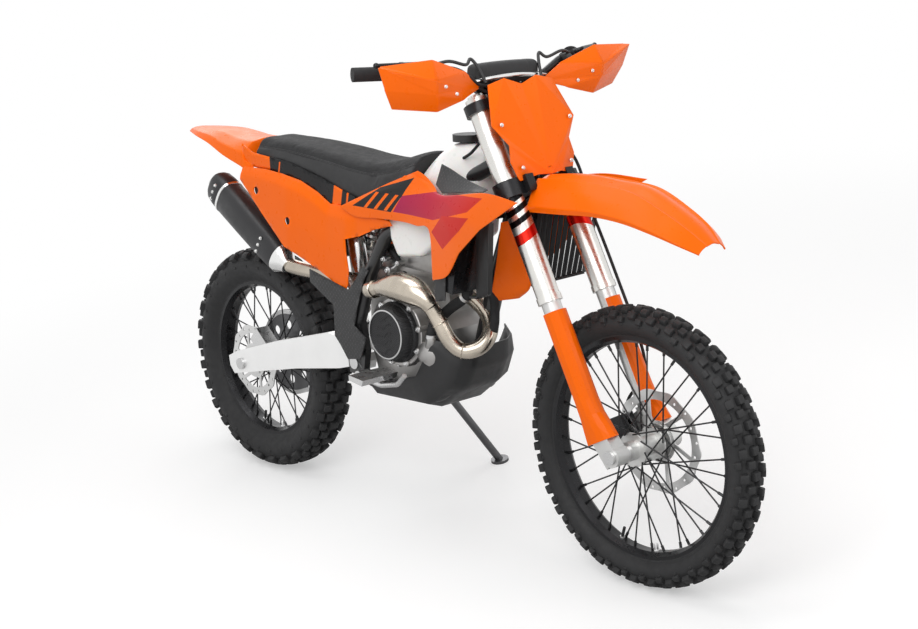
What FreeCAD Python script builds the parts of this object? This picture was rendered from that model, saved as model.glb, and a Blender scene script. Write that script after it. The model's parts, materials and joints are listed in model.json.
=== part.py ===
"""Enduro dirt bike, rebuilt as separate sub-parts with free wheels, steering and a side stand.

The bike is drawn upright: x forwards from the rear axle, y to its left, z up from the floor.
place_on_floor() then leans it onto its side stand and puts the origin under its middle.
"""
import FreeCAD, Part
import math
import os
import Sketcher

doc = FreeCAD.newDocument("dirt_bike")
Vector = FreeCAD.Vector

SIZES = {
    # stance
    "wheelbase": 1485,
    "rake": 26.1,
    "axis_offset": 50.3,
    "lean": 10.5,
    # front wheel
    "front_tyre_radius": 345,
    "front_tyre_half": 42,
    "front_rim_radius": 280,
    "front_rim_half": 24,
    "front_disc_radius": 130,
    "front_disc_inner": 104,
    "front_disc_place": 57,
    # rear wheel
    "rear_tyre_radius": 337,
    "rear_tyre_half": 56,
    "rear_rim_radius": 243,
    "rear_rim_half": 32,
    "rear_disc_radius": 110,
    "rear_disc_inner": 84,
    "rear_disc_place": 66,
    # both wheels
    "knob_height": 12,
    "side_knob_drop": 14,
    "tyre_wall": 7,
    "rim_depth": 16,
    "rim_wall": 4,
    "bead_gap": 1,
    "disc_thick": 3,
    "hub_radius": 24,
    "hub_flange_radius": 42,
    "front_hub_half": 60,
    "rear_hub_half": 75,
    "flange_thick": 5,
    "flange_place": 34,
    "spoke_radius": 2,
    "running_gap": 0.05,
    "seat_gap": 0.3,
    "clear_gap": 5,
    # axles
    "axle_radius": 11,
    "axle_head_radius": 17,
    "axle_head": 8,
    # chain and sprockets
    "chain_line": 71,
    "rear_pitch_radius": 126.4,
    "front_pitch_radius": 35.7,
    "front_sprocket_x": 640,
    "front_sprocket_z": 455,
    "chain_height": 13,
    "chain_plate": 2,
    "chain_inside": 6.4,
    "sprocket_thick": 5,
    "tooth": 5,
    # fork
    "fork_spread": 96,
    "fork_offset": 22,
    "outer_tube_radius": 29,
    "slider_radius": 24,
    "outer_tube_foot": 396,
    "outer_tube_top": 925,
    "slider_foot": 70,
    "lower_clamp_place": 684,
    "upper_clamp_place": 899,
    "lower_clamp_thick": 42,
    "upper_clamp_thick": 26,
    "clamp_wall": 9,
    "stem_radius": 14,
    "head_radius": 30,
    "head_bore": 24,
    "lug_radius": 25,
    "lug_top": 96,
    # frame
    "head_length": 150,
    "downtube_radius": 24,
    "spar_radius": 19,
    "cradle_radius": 16,
    "plate_thick": 10,
    "plate_place": 112,
    "pivot_x": 560,
    "pivot_z": 430,
    "pivot_radius": 12,
    "subframe_radius": 10,
    # swingarm
    "arm_inner": 88,
    "arm_thick": 26,
    # bars
    "bar_radius": 14,
    "grip_radius": 17,
    "bar_end": 402,
    # stand
    "stand_pivot_x": 606,
    "stand_pivot_y": 128,
    "stand_pivot_z": 340,
    "stand_foot_x": 650,
    "stand_foot_y": 325,
    "stand_leg_radius": 11,
    "stand_pin_radius": 6,
    "stand_knuckle_radius": 15,
    "stand_knuckle_thick": 14,
    "stand_foot_radius": 26,
    "stand_foot_thick": 8,
    # covers
    "skin_thick": 3,
    "thin_skin": 2.5,
    # tyres, rims and hubs
    "knob_root": 3,
    "knob_lean": 5,
    "bead_drop": 12,
    "well_drop": 20,
    "sidewall_rise": 16,
    "hub_waist": 20,
    "spoke_seat": 2.2,
    "spoke_spread": 4,
    "wave_depth": 5,
    "disc_seat": 52,
    "disc_arm": 10,
    "disc_hole": 3.5,
    "window_radius": 14,
    # chain
    "bush_margin": 54,
    "chain_pitch": 15.875,
    "bush": 8,
    # clamps and fork
    "bridge_out": 14,
    "bridge_depth": 46,
    "bearing_thick": 14,
    "slider_overlap": 60,
    "cap_radius": 20,
    "cap_rise": 8,
    "lug_thick": 40,
    "guard_gap": 3,
    "guard_foot": 44,
    "guard_top_gap": 25,
    "hub_spacer_radius": 18,
    "caliper_bite": 20,
    "caliper_inner": 21.4,
    "caliper_outer": 24,
    "caliper_length": 74,
    "caliper_height": 52,
    "rear_caliper_turn": 48,
    "head_gap": 4,
    # bars
    "bar_tube": 11,
    "bar_bend": 60,
    "crossbar_radius": 6,
    "grip_length": 125,
    "grip_flange": 26,
    "riser_out": 4,
    "riser_place": 46,
    "riser_radius": 14,
    "riser_half": 14,
    "perch_gap": 22,
    "perch_length": 26,
    "perch_radius": 16,
    "perch_height": 20,
    "lever_out": 34,
    "lever_tip_in": 30,
    "lever_tip_out": 48,
    "lever_step": 20,
    "lever_radius": 5,
    "hose_radius": 4,
    "hose_bend": 900,
    # frame
    "frame_bend": 60,
    "stand_mount_z": 378,
    # rear end
    "prong_inner": 62,
    "prong_outer": 92,
    "yoke_bite": 6,
    "damper_radius": 20,
    "spring_radius": 33,
    "spring_wire": 5.5,
    "spring_start": 50,
    "spring_end": 70,
    "reservoir_out": 50,
    "damper_eye": 16,
    # engine
    "case_half": 105,
    "pivot_room": 30,
    "cylinder_half": 72,
    "clutch_x": 765,
    "clutch_z": 552,
    "clutch_radius": 74,
    "clutch_depth": 44,
    "generator_x": 770,
    "generator_z": 520,
    "generator_radius": 66,
    "generator_depth": 30,
    "throttle_radius": 26,
    "header_radius": 21,
    "header_bend": 42,
    "resonator_radius": 38,
    "midpipe_radius": 22,
    "silencer_half": 42,
    "silencer_rise": 59,
    # cooling and body
    "radiator_inner": 58,
    "radiator_outer": 165,
    "cap_wide": 40,
    "cap_tall": 18,
    "airbox_half": 70,
    "guard_place": 138,
    "peg_inner": 132,
    "peg_outer": 252,
    "pedal_radius": 7,
    # more of the wheels and fork
    "carrier_radius": 46,
    "carrier_thick": 6,
    "spoke_room": 1.05,
    "spoke_gap": 0.95,
    "nipple_length": 14,
    "nipple_radius": 3.5,
    "disc_bolt_place": 38,
    "disc_sweep": 14,
    "bolt_rise": 3,
    "bolt_radius": 5,
    "sprocket_nut": 12,
    "shaft_radius": 16,
    "ear_out": 66,
    "ear_in": 26,
    "ear_length": 22,
    "ear_wide": 26,
    "stem_nut": 18,
    "seal_rise": 16,
    "seal_radius": 31,
    "bracket_back": 66,
    "bracket_rise": 24,
    "bracket_thick": 9,
    # more of the front end
    "strap_thick": 4,
    "strap_wide": 14,
    "plate_strap_rise": 116,
    "plate_peg_radius": 6,
    "tongue_thick": 4,
    "tongue_out": 38,
    "tongue_length": 96,
    "tongue_wide": 106,
    "pivot_head": 17,
    "stand_boss": 24,
    "pin_head": 4,
    "stand_neck_radius": 6,
    # more of the engine and exhaust
    "case_left": 62,
    "case_right": 82,
    "housing_wall": 8,
    "generator_face": 96,
    "sprocket_room": 110,
    "rib_step": 6,
    "clutch_step": 16,
    "clutch_inner": 54,
    "generator_step": 10,
    "generator_inner": 40,
    "cover_slope": 8,
    "outlet_depth": 30,
    "outlet_radius": 22,
    "louvre_rail": 4,
    "louvre_deep": 16,
    "louvre_thick": 2.2,
    "stay_radius": 7,
    "clip_length": 22,
    "post_radius": 6,
    "guard_post_y": 90,
    "cover_post": 90,
    "fender_post_in": 12,
    "guard_post_z": 470,
    "boss_gap": 2.5,
    # places and spans of the pieces drawn from tables of shares
    "bar_tip": 423,
    "bar_length": 104,
    "bar_lift": 832,
    "bar_height": 66,
    "bar_reach": 402,
    "crossbar_tip": 422.5,
    "crossbar_length": 0.5,
    "crossbar_lift": 865,
    "crossbar_height": 1,
    "crossbar_reach": 132,
    "bar_pad_tip": 411,
    "bar_pad_length": 48,
    "bar_pad_lift": 849,
    "bar_pad_height": 56,
    "bar_pad_reach": 108,
    "hand_guard_tip": 345,
    "hand_guard_length": 69,
    "hand_guard_lift": 805,
    "hand_guard_height": 122,
    "hand_guard_reach": 408,
    "number_plate_tip": 279,
    "number_plate_length": 112,
    "number_plate_lift": 651,
    "number_plate_height": 208,
    "number_plate_reach": 115,
    "front_fender_tip": -217,
    "front_fender_length": 492,
    "front_fender_lift": 493,
    "front_fender_height": 150,
    "front_fender_reach": 92,
    "guard_arm_tip": 364,
    "guard_arm_length": 53,
    "guard_arm_lift": 863,
    "guard_arm_height": 10,
    "guard_arm_reach": 182,
    "front_hose_tip": 106,
    "front_hose_length": 336.7,
    "front_hose_lift": 42,
    "front_hose_height": 863,
    "front_hose_reach": 241.8,
    "spar_rear": 560,
    "spar_tip": 387,
    "spar_base": 420,
    "spar_height": 600,
    "spar_reach": 112,
    "downtube_rear": 938,
    "downtube_tip": 367,
    "downtube_base": 500,
    "downtube_height": 478,
    "downtube_reach": 1,
    "cradle_rear": 562,
    "cradle_length": 376,
    "cradle_base": 372,
    "cradle_height": 148,
    "cradle_reach": 112,
    "subrail_rear": 90,
    "subrail_length": 578,
    "subrail_base": 815,
    "subrail_height": 110,
    "subrail_reach": 92,
    "substrut_rear": 200,
    "substrut_length": 388,
    "substrut_base": 590,
    "substrut_height": 315,
    "substrut_reach": 112,
    "pivot_plate_rear": 532,
    "pivot_plate_length": 74,
    "pivot_plate_base": 392,
    "pivot_plate_height": 170,
    "arm_rear": -64,
    "arm_length": 583,
    "arm_base": 300,
    "arm_height": 194,
    "prong_rear": 440,
    "prong_length": 138,
    "prong_base": 400,
    "prong_height": 62,
    "yoke_rear": 372,
    "yoke_length": 83,
    "yoke_base": 384,
    "yoke_height": 76,
    "shock_rear": 408,
    "shock_length": 148,
    "shock_base": 475.9,
    "shock_height": 361.8,
    "shock_reach": 8,
    "case_rear": 566,
    "case_length": 339,
    "case_base": 380,
    "case_height": 260,
    "cylinder_rear": 692,
    "cylinder_length": 208,
    "cylinder_base": 590,
    "cylinder_height": 116,
    "cylinder_top_rear": 702,
    "cylinder_top_length": 192,
    "cylinder_top_base": 692,
    "cylinder_top_height": 68,
    "throttle_rear": 578,
    "throttle_length": 142,
    "throttle_base": 690,
    "throttle_height": 30,
    "throttle_reach": 1,
    "header_rear": 880,
    "header_length": 132,
    "header_base": 560,
    "header_height": 95,
    "header_reach": 148,
    "resonator_rear": 732,
    "resonator_length": 170,
    "resonator_base": 652,
    "resonator_height": 20,
    "resonator_reach": 146,
    "midpipe_rear": 196,
    "midpipe_length": 536,
    "midpipe_base": 642,
    "midpipe_height": 42,
    "midpipe_reach": 128,
    "silencer_rear": -104,
    "silencer_length": 332,
    "silencer_base": 664,
    "silencer_height": 220,
    "silencer_reach": 88,
    "radiator_tip": 429,
    "radiator_length": 78,
    "radiator_base": 684,
    "radiator_height": 208,
    "louvre_tip": 301,
    "louvre_length": 150,
    "louvre_base": 668,
    "louvre_height": 214,
    "louvre_reach": 187,
    "stay_tip": 433,
    "stay_length": 46,
    "stay_base": 712,
    "stay_height": 156,
    "tank_rows_rear": 690,
    "tank_rows_tip": 475,
    "tank_rows_base": 744,
    "tank_rows_height": 302,
    "tank_rows_reach": 118,
    "seat_rows_rear": 76,
    "seat_rows_length": 730,
    "seat_rows_base": 880,
    "seat_rows_height": 140,
    "seat_rows_reach": 116,
    "airbox_rear": 225,
    "airbox_length": 275,
    "airbox_base": 690,
    "airbox_height": 200,
    "rear_fender_rear": -297,
    "rear_fender_length": 409,
    "rear_fender_base": 925,
    "rear_fender_height": 100,
    "rear_fender_reach": 109,
    "side_panel_rear": 69,
    "side_panel_length": 683,
    "side_panel_base": 636,
    "side_panel_height": 301,
    "side_panel_reach": 137,
    "shroud_rear": 533,
    "shroud_tip": 169,
    "shroud_base": 718,
    "shroud_height": 258,
    "shroud_reach": 226,
    "panel_post_rear": 350,
    "panel_post_length": 170,
    "panel_post_base": 858,
    "panel_post_height": 47,
    "panel_post_reach": 84,
    "frame_guard_rear": 300,
    "frame_guard_length": 350,
    "frame_guard_base": 420,
    "frame_guard_height": 315,
    "skid_rear": 640,
    "skid_length": 326,
    "skid_base": 350,
    "skid_height": 230,
    "skid_reach": 137,
    "tank_guard_rear": 925,
    "tank_guard_tip": 330,
    "tank_guard_base": 931,
    "tank_guard_height": 69,
    "tank_guard_reach": 178,
    "front_panel_tip": 361,
    "front_panel_length": 94,
    "front_panel_base": 648,
    "front_panel_height": 218,
    "front_panel_reach": 52,
    "peg_rear": 690,
    "peg_length": 58,
    "peg_base": 420,
    "peg_height": 22,
    "brake_pedal_rear": 610,
    "brake_pedal_length": 240,
    "brake_pedal_base": 395,
    "brake_pedal_height": 60,
    "brake_pedal_reach": 196,
    "gear_lever_rear": 712,
    "gear_lever_length": 138,
    "gear_lever_base": 440,
    "gear_lever_height": 30,
    "gear_lever_reach": 185,
}

sheet = doc.addObject("Spreadsheet::Sheet", "Sizes")
for row, (label, value) in enumerate(SIZES.items(), start=1):
    sheet.set("A%d" % row, label)
    sheet.set("B%d" % row, str(value))
    sheet.setAlias("B%d" % row, label)
doc.recompute()


def size(label):
    """One named size, read back from the spreadsheet."""
    return float(sheet.get(label))


def length(text):
    """The value of a sum of named sizes, such as "rim_radius - 2*rim_wall"."""
    value, sign = 0.0, 1.0
    for word in text.split():
        if word in ("+", "-"):
            sign = 1.0 if word == "+" else -1.0
            continue
        product = sign
        for factor in word.split("*"):
            product *= size(factor) if factor[0].isalpha() else float(factor)
        value += product
        sign = 1.0
    return value


def bound(text):
    """The same sum as an expression on the spreadsheet."""
    words = []
    for word in text.split():
        factors = ["Sizes." + f if f[0].isalpha() else f for f in word.split("*")]
        words.append(" * ".join(factors))
    return " ".join(words)


# Directions of the steering: up along its axis and forwards square to it.
RAKE = math.radians(size("rake"))
STEER_UP = Vector(-math.sin(RAKE), 0, math.cos(RAKE))
STEER_OUT = Vector(math.cos(RAKE), 0, math.sin(RAKE))
FRONT_AXLE = Vector(size("wheelbase"), 0, size("front_tyre_radius"))
REAR_AXLE = Vector(0, 0, size("rear_tyre_radius"))
STEER_FOOT = FRONT_AXLE - STEER_OUT * size("axis_offset")
SIDES = (("right", -1), ("left", 1))


def steer(out, side, up):
    """A place given forwards of, beside and along the steering axis."""
    return STEER_FOOT + STEER_OUT * out + Vector(0, side, 0) + STEER_UP * up


def span_of(piece):
    """Where a table's piece starts, and its length. A tip is measured back from the front axle."""
    if piece + "_tip" not in SIZES:
        return size(piece + "_rear"), size(piece + "_length")
    front = size("wheelbase") - size(piece + "_tip")
    if piece + "_rear" in SIZES:
        return size(piece + "_rear"), front - size(piece + "_rear")
    return front - size(piece + "_length"), size(piece + "_length")


def base_of(piece):
    """The height where a table's piece starts. A lift is measured up from the front axle."""
    if piece + "_lift" in SIZES:
        return FRONT_AXLE.z + size(piece + "_lift")
    return size(piece + "_base")


def spots(piece, shares, side=1):
    """The points of a table, as shares of the piece's own length, reach and height."""
    (start, span), base = span_of(piece), base_of(piece)
    across, rise = size(piece + "_reach") * side, size(piece + "_height")
    return [Vector(start + span * x, across * y, base + rise * z) for x, y, z in shares]


def side_spots(piece, shares, place=0):
    """The points of a side-view table, at one place across the bike."""
    (start, span), base, rise = span_of(piece), base_of(piece), size(piece + "_height")
    return [Vector(start + span * x, place, base + rise * z) for x, z in shares]


def support_of(profile, tilt):
    """How far a leaning wheel reaches below its axle."""
    return max(r * math.cos(tilt) + y * math.sin(tilt) for r, y in profile)


def tread_profile(end):
    """The knob-tip points of a tyre, as radius and place across."""
    tip, half = size(end + "_tyre_radius"), size(end + "_tyre_half")
    return [(tip, TREAD_SHARES["middle"] * half), (tip - size("side_knob_drop"), half)]


# Shares of a tyre's half width: the middle knobs' half, the inner edge of the side knobs.
TREAD_SHARES = {"middle": 0.36, "gap": 0.56, "shoulder": 0.9, "sidewall": 0.86}
LEAN = math.radians(size("lean"))
REAR_REACH = support_of(tread_profile("rear"), LEAN)
FRONT_REACH = support_of(tread_profile("front"), LEAN)
DROP = REAR_AXLE.z * math.cos(LEAN) - REAR_REACH
PITCH = math.asin((FRONT_AXLE.z * math.cos(LEAN) - DROP - FRONT_REACH) / FRONT_AXLE.x)


def leaned():
    """The placement that leans the bike to its left, with both tyres on the floor."""
    roll = FreeCAD.Rotation(Vector(1, 0, 0), -math.degrees(LEAN))
    pitch = FreeCAD.Rotation(Vector(0, 1, 0), math.degrees(PITCH))
    tilt = FreeCAD.Placement(Vector(0, 0, 0), pitch.multiply(roll))
    low = tilt.multVec(REAR_AXLE).z - REAR_REACH
    return FreeCAD.Placement(Vector(0, 0, -low), FreeCAD.Rotation()).multiply(tilt)


STANCE = leaned()


def floor_under(x, y):
    """Where the floor lies under a place on the upright bike."""
    up = STANCE.Rotation.inverted().multVec(Vector(0, 0, 1))
    foot = STANCE.inverse().multVec(Vector(0, 0, 0))
    return foot.z - (up.x * (x - foot.x) + up.y * (y - foot.y)) / up.z


# Node name -> the document object that carries its shape.
nodes = {}


def keep(name, shape):
    """One node from a shape that is worked out above."""
    node = doc.addObject("Part::Feature", name)
    node.Shape = shape.removeSplitter() if len(shape.Solids) == 1 else shape
    nodes[name] = node
    return node


def cylinder(label, start, end, radius):
    """A Part cylinder between two places, its radius bound to the sheet."""
    way = end - start
    rod = doc.addObject("Part::Cylinder", label)
    rod.setExpression("Radius", bound(radius))
    rod.Height = way.Length
    rod.Placement = FreeCAD.Placement(start, FreeCAD.Rotation(Vector(0, 0, 1), way))
    return rod


def cut(name, base, tools):
    """One node from an object, without the room of the shapes it is fitted to."""
    room = doc.addObject("Part::Feature", name + "_room")
    room.Shape = tools[0].fuse(tools[1:]) if len(tools) > 1 else tools[0]
    node = doc.addObject("Part::Cut", name)
    node.Base = base
    node.Tool = room
    nodes[name] = node
    doc.recompute()
    return node


def rod(start, end, radius):
    return Part.makeCylinder(radius, (end - start).Length, start, end - start)


def across(centre, half, radius, start=None):
    """A cylinder across the bike, centred on a place or from start to half."""
    low = -half if start is None else start
    return rod(centre + Vector(0, low, 0), centre + Vector(0, half, 0), radius)


def ring(centre, axis, outer, inner, thick):
    """A flat ring whose middle plane is at centre."""
    way = Vector(axis).normalize()
    start = centre - way * (thick / 2)
    return (Part.makeCylinder(outer, thick, start, way)
            .cut(Part.makeCylinder(inner, thick, start, way)))


def polygon(points):
    return Part.Face(Part.makePolygon(list(points) + [points[0]]))


def side_plate(points, low, high):
    """A plate cut to a side-view outline, from y = low to y = high."""
    flat = [Vector(p.x, low, p.z) for p in points]
    return polygon(flat).extrude(Vector(0, high - low, 0))


def block(centre, along, up, span, wide, rise):
    """A box about a centre: span along, wide across both, rise along up."""
    a = Vector(along).normalize()
    u = Vector(up).normalize()
    w = u.cross(a)
    start = centre - a * (span / 2) - u * (rise / 2) - w * (wide / 2)
    corners = [start, start + a * span, start + a * span + w * wide, start + w * wide]
    return polygon(corners).extrude(u * rise)


def bent_path(points, bend):
    """Straight runs joined by tangent arcs of one radius, cut short where runs are short."""
    edges, last = [], points[0]
    for before, corner, after in zip(points, points[1:], points[2:]):
        back = (before - corner).normalize()
        ahead = (after - corner).normalize()
        turn = math.pi - back.getAngle(ahead)
        room = ARC_SHARE * min((before - corner).Length, (after - corner).Length)
        reach = min(bend * math.tan(turn / 2), room)
        radius = reach / math.tan(turn / 2)
        first, final = corner + back * reach, corner + ahead * reach
        middle_way = (back + ahead).normalize()
        middle = corner + middle_way * (math.hypot(radius, reach) - radius)
        edges.append(Part.makeLine(last, first))
        edges.append(Part.Arc(first, middle, final).toShape())
        last = final
    edges.append(Part.makeLine(last, points[-1]))
    return Part.Wire(edges)


ARC_SHARE = 0.48


def tube(points, radius, bend):
    """A round bar swept along straight runs and tangent arcs."""
    path = bent_path(points, bend)
    way = points[1] - points[0]
    section = Part.Wire(Part.makeCircle(radius, points[0], way))
    return path.makePipeShell([section], True, False)


def loft(sections):
    """A solid through closed outlines, each a list of points."""
    wires = [Part.makePolygon(list(s) + [s[0]]) for s in sections]
    return Part.makeLoft(wires, True, True)


def skin(rows, thick, inward):
    """A thin sheet through rows of places, thickened the way inward points."""
    normals = []
    for i, row in enumerate(rows):
        line = []
        for j, here in enumerate(row):
            ahead = rows[min(i + 1, len(rows) - 1)][j] - rows[max(i - 1, 0)][j]
            beside = row[min(j + 1, len(row) - 1)] - row[max(j - 1, 0)]
            normal = ahead.cross(beside).normalize()
            line.append(normal * (thick if normal.dot(inward(here)) > 0 else -thick))
        normals.append(line)
    inner = [[p + n for p, n in zip(r, line)] for r, line in zip(rows, normals)]
    return closed_sheet(rows, inner)


def closed_sheet(outer, inner):
    """The solid between two grids of places, in flat triangles."""
    faces = []
    for grid in (outer, inner):
        for low, high in zip(grid, grid[1:]):
            for j in range(len(low) - 1):
                faces += four_sided(low[j], low[j + 1], high[j + 1], high[j])
    for edge in zip_edges(outer, inner):
        (a, b), (c, d) = edge
        faces += four_sided(a, b, d, c)
    return solid_of(faces)


def solid_of(faces):
    """The closed solid inside flat faces."""
    solid = Part.Solid(Part.Shell(faces))
    if solid.Volume < 0:
        solid.reverse()
    return solid


def zip_edges(outer, inner):
    """Matching border segments of two grids."""
    edges = []
    for first, second in ((outer[0], inner[0]), (outer[-1], inner[-1])):
        for j in range(len(first) - 1):
            edges.append(((first[j], first[j + 1]), (second[j], second[j + 1])))
    for j in (0, -1):
        for i in range(len(outer) - 1):
            edges.append(((outer[i][j], outer[i + 1][j]), (inner[i][j], inner[i + 1][j])))
    return edges


def four_sided(a, b, c, d):
    """Two triangles over four places, without those that have no area."""
    faces = []
    for three in ((a, b, c), (a, c, d)):
        if (three[1] - three[0]).cross(three[2] - three[0]).Length > FLAT:
            faces.append(Part.Face(Part.makePolygon(list(three) + [three[0]])))
    return faces


FLAT = 1e-9 * size("wheelbase") ** 2


def post(start, way, radius, sheet_piece):
    """A mounting post from a place to the middle of the sheet that it meets."""
    line = Part.makeLine(start, start + way * size("wheelbase"))
    hits = [v.Point for v in line.common(sheet_piece).Vertexes]
    hits.sort(key=lambda p: (p - start).Length)
    end = (hits[0] + hits[1]) / 2
    return rod(start, end, radius)


def mirrored(shape):
    return shape.mirror(Vector(0, 0, 0), Vector(0, 1, 0))


def both(shape):
    """A right-hand piece and its left-hand twin."""
    return Part.makeCompound([shape, mirrored(shape)])


def origin_plane(body, role):
    return next(f for f in body.Origin.OriginFeatures if f.Role == role)


def sketch(body, role, outlines):
    """A sketch of closed outlines whose corners are bound to the sheet."""
    drawing = body.newObject("Sketcher::SketchObject", body.Name + "_sketch")
    drawing.AttachmentSupport = [(origin_plane(body, role), "")]
    drawing.MapMode = "FlatFace"
    for outline in outlines:
        first = drawing.GeometryCount
        flat = [Vector(length(a), length(b), 0) for a, b in outline]
        for start, end in zip(flat, flat[1:] + flat[:1]):
            drawing.addGeometry(Part.LineSegment(start, end))
        count = len(flat)
        for i, (a, b) in enumerate(outline):
            after = first + (i + 1) % count
            drawing.addConstraint(Sketcher.Constraint("Coincident", first + i, 2, after, 1))
            tie(drawing, "DistanceX", first + i, a)
            tie(drawing, "DistanceY", first + i, b)
    return drawing


def tie(drawing, kind, line, text):
    """Bind one coordinate of a line's start; a zero lies on the axis instead."""
    if text == "0":
        axis = -2 if kind == "DistanceX" else -1
        drawing.addConstraint(Sketcher.Constraint("PointOnObject", line, 1, axis))
        return
    at = drawing.addConstraint(Sketcher.Constraint(kind, -1, 1, line, 1, length(text)))
    drawing.setExpression("Constraints[%d]" % at, bound(text))


def turned(name, outlines, centre, node=True):
    """A body turned about an axis across the bike, from (radius, place across) outlines."""
    body = doc.addObject("PartDesign::Body", name)
    drawing = sketch(body, "XY_Plane", outlines)
    turn = body.newObject("PartDesign::Revolution", name + "_turn")
    turn.Profile = drawing
    turn.ReferenceAxis = (drawing, ["V_Axis"])
    turn.Angle = 360
    body.Tip = turn
    body.Placement.Base = centre
    if node:
        nodes[name] = body
    return body


def side_outline(piece, shares):
    """The corners of a side-view table, as sums of the piece's named sizes."""
    return [("%s_rear + %g*%s_length" % (piece, x, piece), "%s_base + %g*%s_height" % (piece, z, piece))
            for x, z in shares]


def plate(label, outline, top, wide):
    """A body padded from a side-view outline, from its left face to its right one."""
    body = doc.addObject("PartDesign::Body", label)
    drawing = sketch(body, "XZ_Plane", [outline])
    pad = body.newObject("PartDesign::Pad", label + "_pad")
    pad.Profile = drawing
    pad.setExpression("Length", bound(wide))
    body.Tip = pad
    body.Placement.Base = Vector(0, length(top), 0)
    doc.recompute()
    return body
# Wheels

KNOB_COUNTS = {"front": 26, "rear": 22}
# Bands of a tyre's outline that carry knobs, and which cells of the ring are raised there.
SIDE_ROW, MIDDLE_ROW = 1, 0
KNOB_BANDS = {3: SIDE_ROW, 5: MIDDLE_ROW, 7: SIDE_ROW}
SIDE_LIFT_SHARE = 0.45


def tyre_outline(end):
    """The hollow section of a tyre as (radius, place across), and its raised knob tops."""
    tip, half = size(end + "_tyre_radius"), size(end + "_tyre_half")
    seat = size(end + "_rim_radius")
    bead = size(end + "_rim_half") - size("rim_wall") - size("bead_gap")
    wall, knob, drop = size("tyre_wall"), size("knob_height"), size("side_knob_drop")
    low = seat - size("bead_drop") + size("seat_gap")
    side, gap = half * TREAD_SHARES["shoulder"], half * TREAD_SHARES["gap"]
    middle = half * TREAD_SHARES["middle"]
    slope = drop * SIDE_LIFT_SHARE
    right = [(low, bead), (seat + size("bead_gap"), bead), (seat + size("sidewall_rise"), side),
             (tip - drop - knob, half * TREAD_SHARES["sidewall"]), (tip - knob - slope, gap),
             (tip - knob, middle)]
    inside = [(low, bead - wall), (tip - drop - knob - wall, gap)]
    outer = right + [(r, -y) for r, y in reversed(right)]
    inner = [(r, -y) for r, y in inside] + [(r, y) for r, y in reversed(inside)]
    side_top = ((tip - drop, half), (tip - slope, gap))
    raised = {3: side_top, 5: ((tip, middle), (tip, -middle)),
              7: tuple((r, -y) for r, y in reversed(side_top))}
    return outer + inner, raised


def tyre(name, end, centre):
    """A hollow tyre built as a ring of flat cells, every second one raised to a knob."""
    outline, raised = tyre_outline(end)
    cells = 2 * KNOB_COUNTS[end]
    flat = 1 / math.cos(math.pi / cells)

    def corner(point, cell):
        angle = math.pi * (2 * (cell % cells) - 1) / cells - math.pi / 2
        radius = point[0] * flat
        return centre + Vector(radius * math.cos(angle), point[1], radius * math.sin(angle))

    faces = []
    for band, (a, b) in enumerate(zip(outline, outline[1:] + outline[:1])):
        for cell in range(cells):
            edge = (cell, cell + 1)
            if KNOB_BANDS.get(band) != cell % 2:
                faces.append(cell_face(corner, a, b, edge))
                continue
            c, d = raised[band]
            faces += [cell_face(corner, *pair, edge) for pair in ((a, c), (c, d), (d, b))]
            faces += [polygon([corner(p, at) for p in (a, b, d, c)]) for at in edge]
    return keep(name, solid_of(faces))


def cell_face(corner, a, b, edge):
    """One flat cell between two places of the outline."""
    first, last = edge
    return polygon([corner(a, first), corner(b, first), corner(b, last), corner(a, last)])


def rim(name, end, centre):
    """A rolled rim: two flanges, the bead seats and the well between them."""
    r, h = end + "_rim_radius", end + "_rim_half"
    outline = (
        (r, h), (r, h + " - rim_wall"),
        (r + " - bead_drop", h + " - rim_wall"),
        (r + " - well_drop", "0.4*" + h),
        (r + " - well_drop", "-0.4*" + h),
        (r + " - bead_drop", "rim_wall - " + h),
        (r, "rim_wall - " + h), (r, "-1*" + h),
        (r + " - bead_drop - rim_wall", "-1*" + h),
        (r + " - well_drop - rim_wall", "-0.5*" + h),
        (r + " - well_drop - rim_wall", "0.5*" + h),
        (r + " - bead_drop - rim_wall", h),
    )
    return turned(name, [outline], centre)


def hub(name, end, centre, carriers):
    """A hub with two spoke flanges and a carrier beside each disc or sprocket."""
    half = end + "_hub_half"
    bore = "axle_radius + running_gap"
    outline = [(bore, half), (bore, "-1*" + half), ("hub_radius", "-1*" + half)]
    steps = [("-1*flange_place", "hub_flange_radius", "0.5*flange_thick"),
             ("flange_place", "hub_flange_radius", "0.5*flange_thick")]
    steps += [(place, "carrier_radius", "0.5*carrier_thick") for place in carriers]
    steps.sort(key=lambda step: length(step[0]))
    for place, radius, reach in steps:
        outline += [("hub_radius", place + " - " + reach), (radius, place + " - " + reach),
                    (radius, place + " + " + reach), ("hub_radius", place + " + " + reach)]
    outline.append(("hub_radius", half))
    return turned(name, [outline], centre)


SPOKES_A_SIDE = 18
SPOKE_TURN = 60.0
SPOKE_STEP = 360.0 / SPOKES_A_SIDE


def spokes(name, end, centre):
    """36 crossed spokes, each with its nipple at the rim."""
    reach = size(end + "_rim_radius") - size("well_drop") - size("rim_wall") - size("spoke_room")
    start = size("hub_flange_radius") - size("spoke_seat")
    radius = size("spoke_radius")
    rods = []
    for sign in (1, -1):
        for k in range(SPOKES_A_SIDE):
            way = 1 if k % 2 == 0 else -1
            beside = (size("flange_thick") / 2 + radius + size("spoke_gap")) * way
            at = SPOKE_STEP * (k + sign / 4)
            inner = turned_spot(start, at)
            outer = turned_spot(reach, at + SPOKE_TURN * way)
            inner.y = sign * (size("flange_place") + beside)
            outer.y = sign * size("spoke_spread") * (2 if way > 0 else 1)
            nipple = outer + (inner - outer).normalize() * size("nipple_length")
            thin = rod(centre + inner, centre + outer, radius)
            rods.append(thin.fuse(rod(centre + nipple, centre + outer, size("nipple_radius"))))
    return keep(name, Part.makeCompound(rods))


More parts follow.
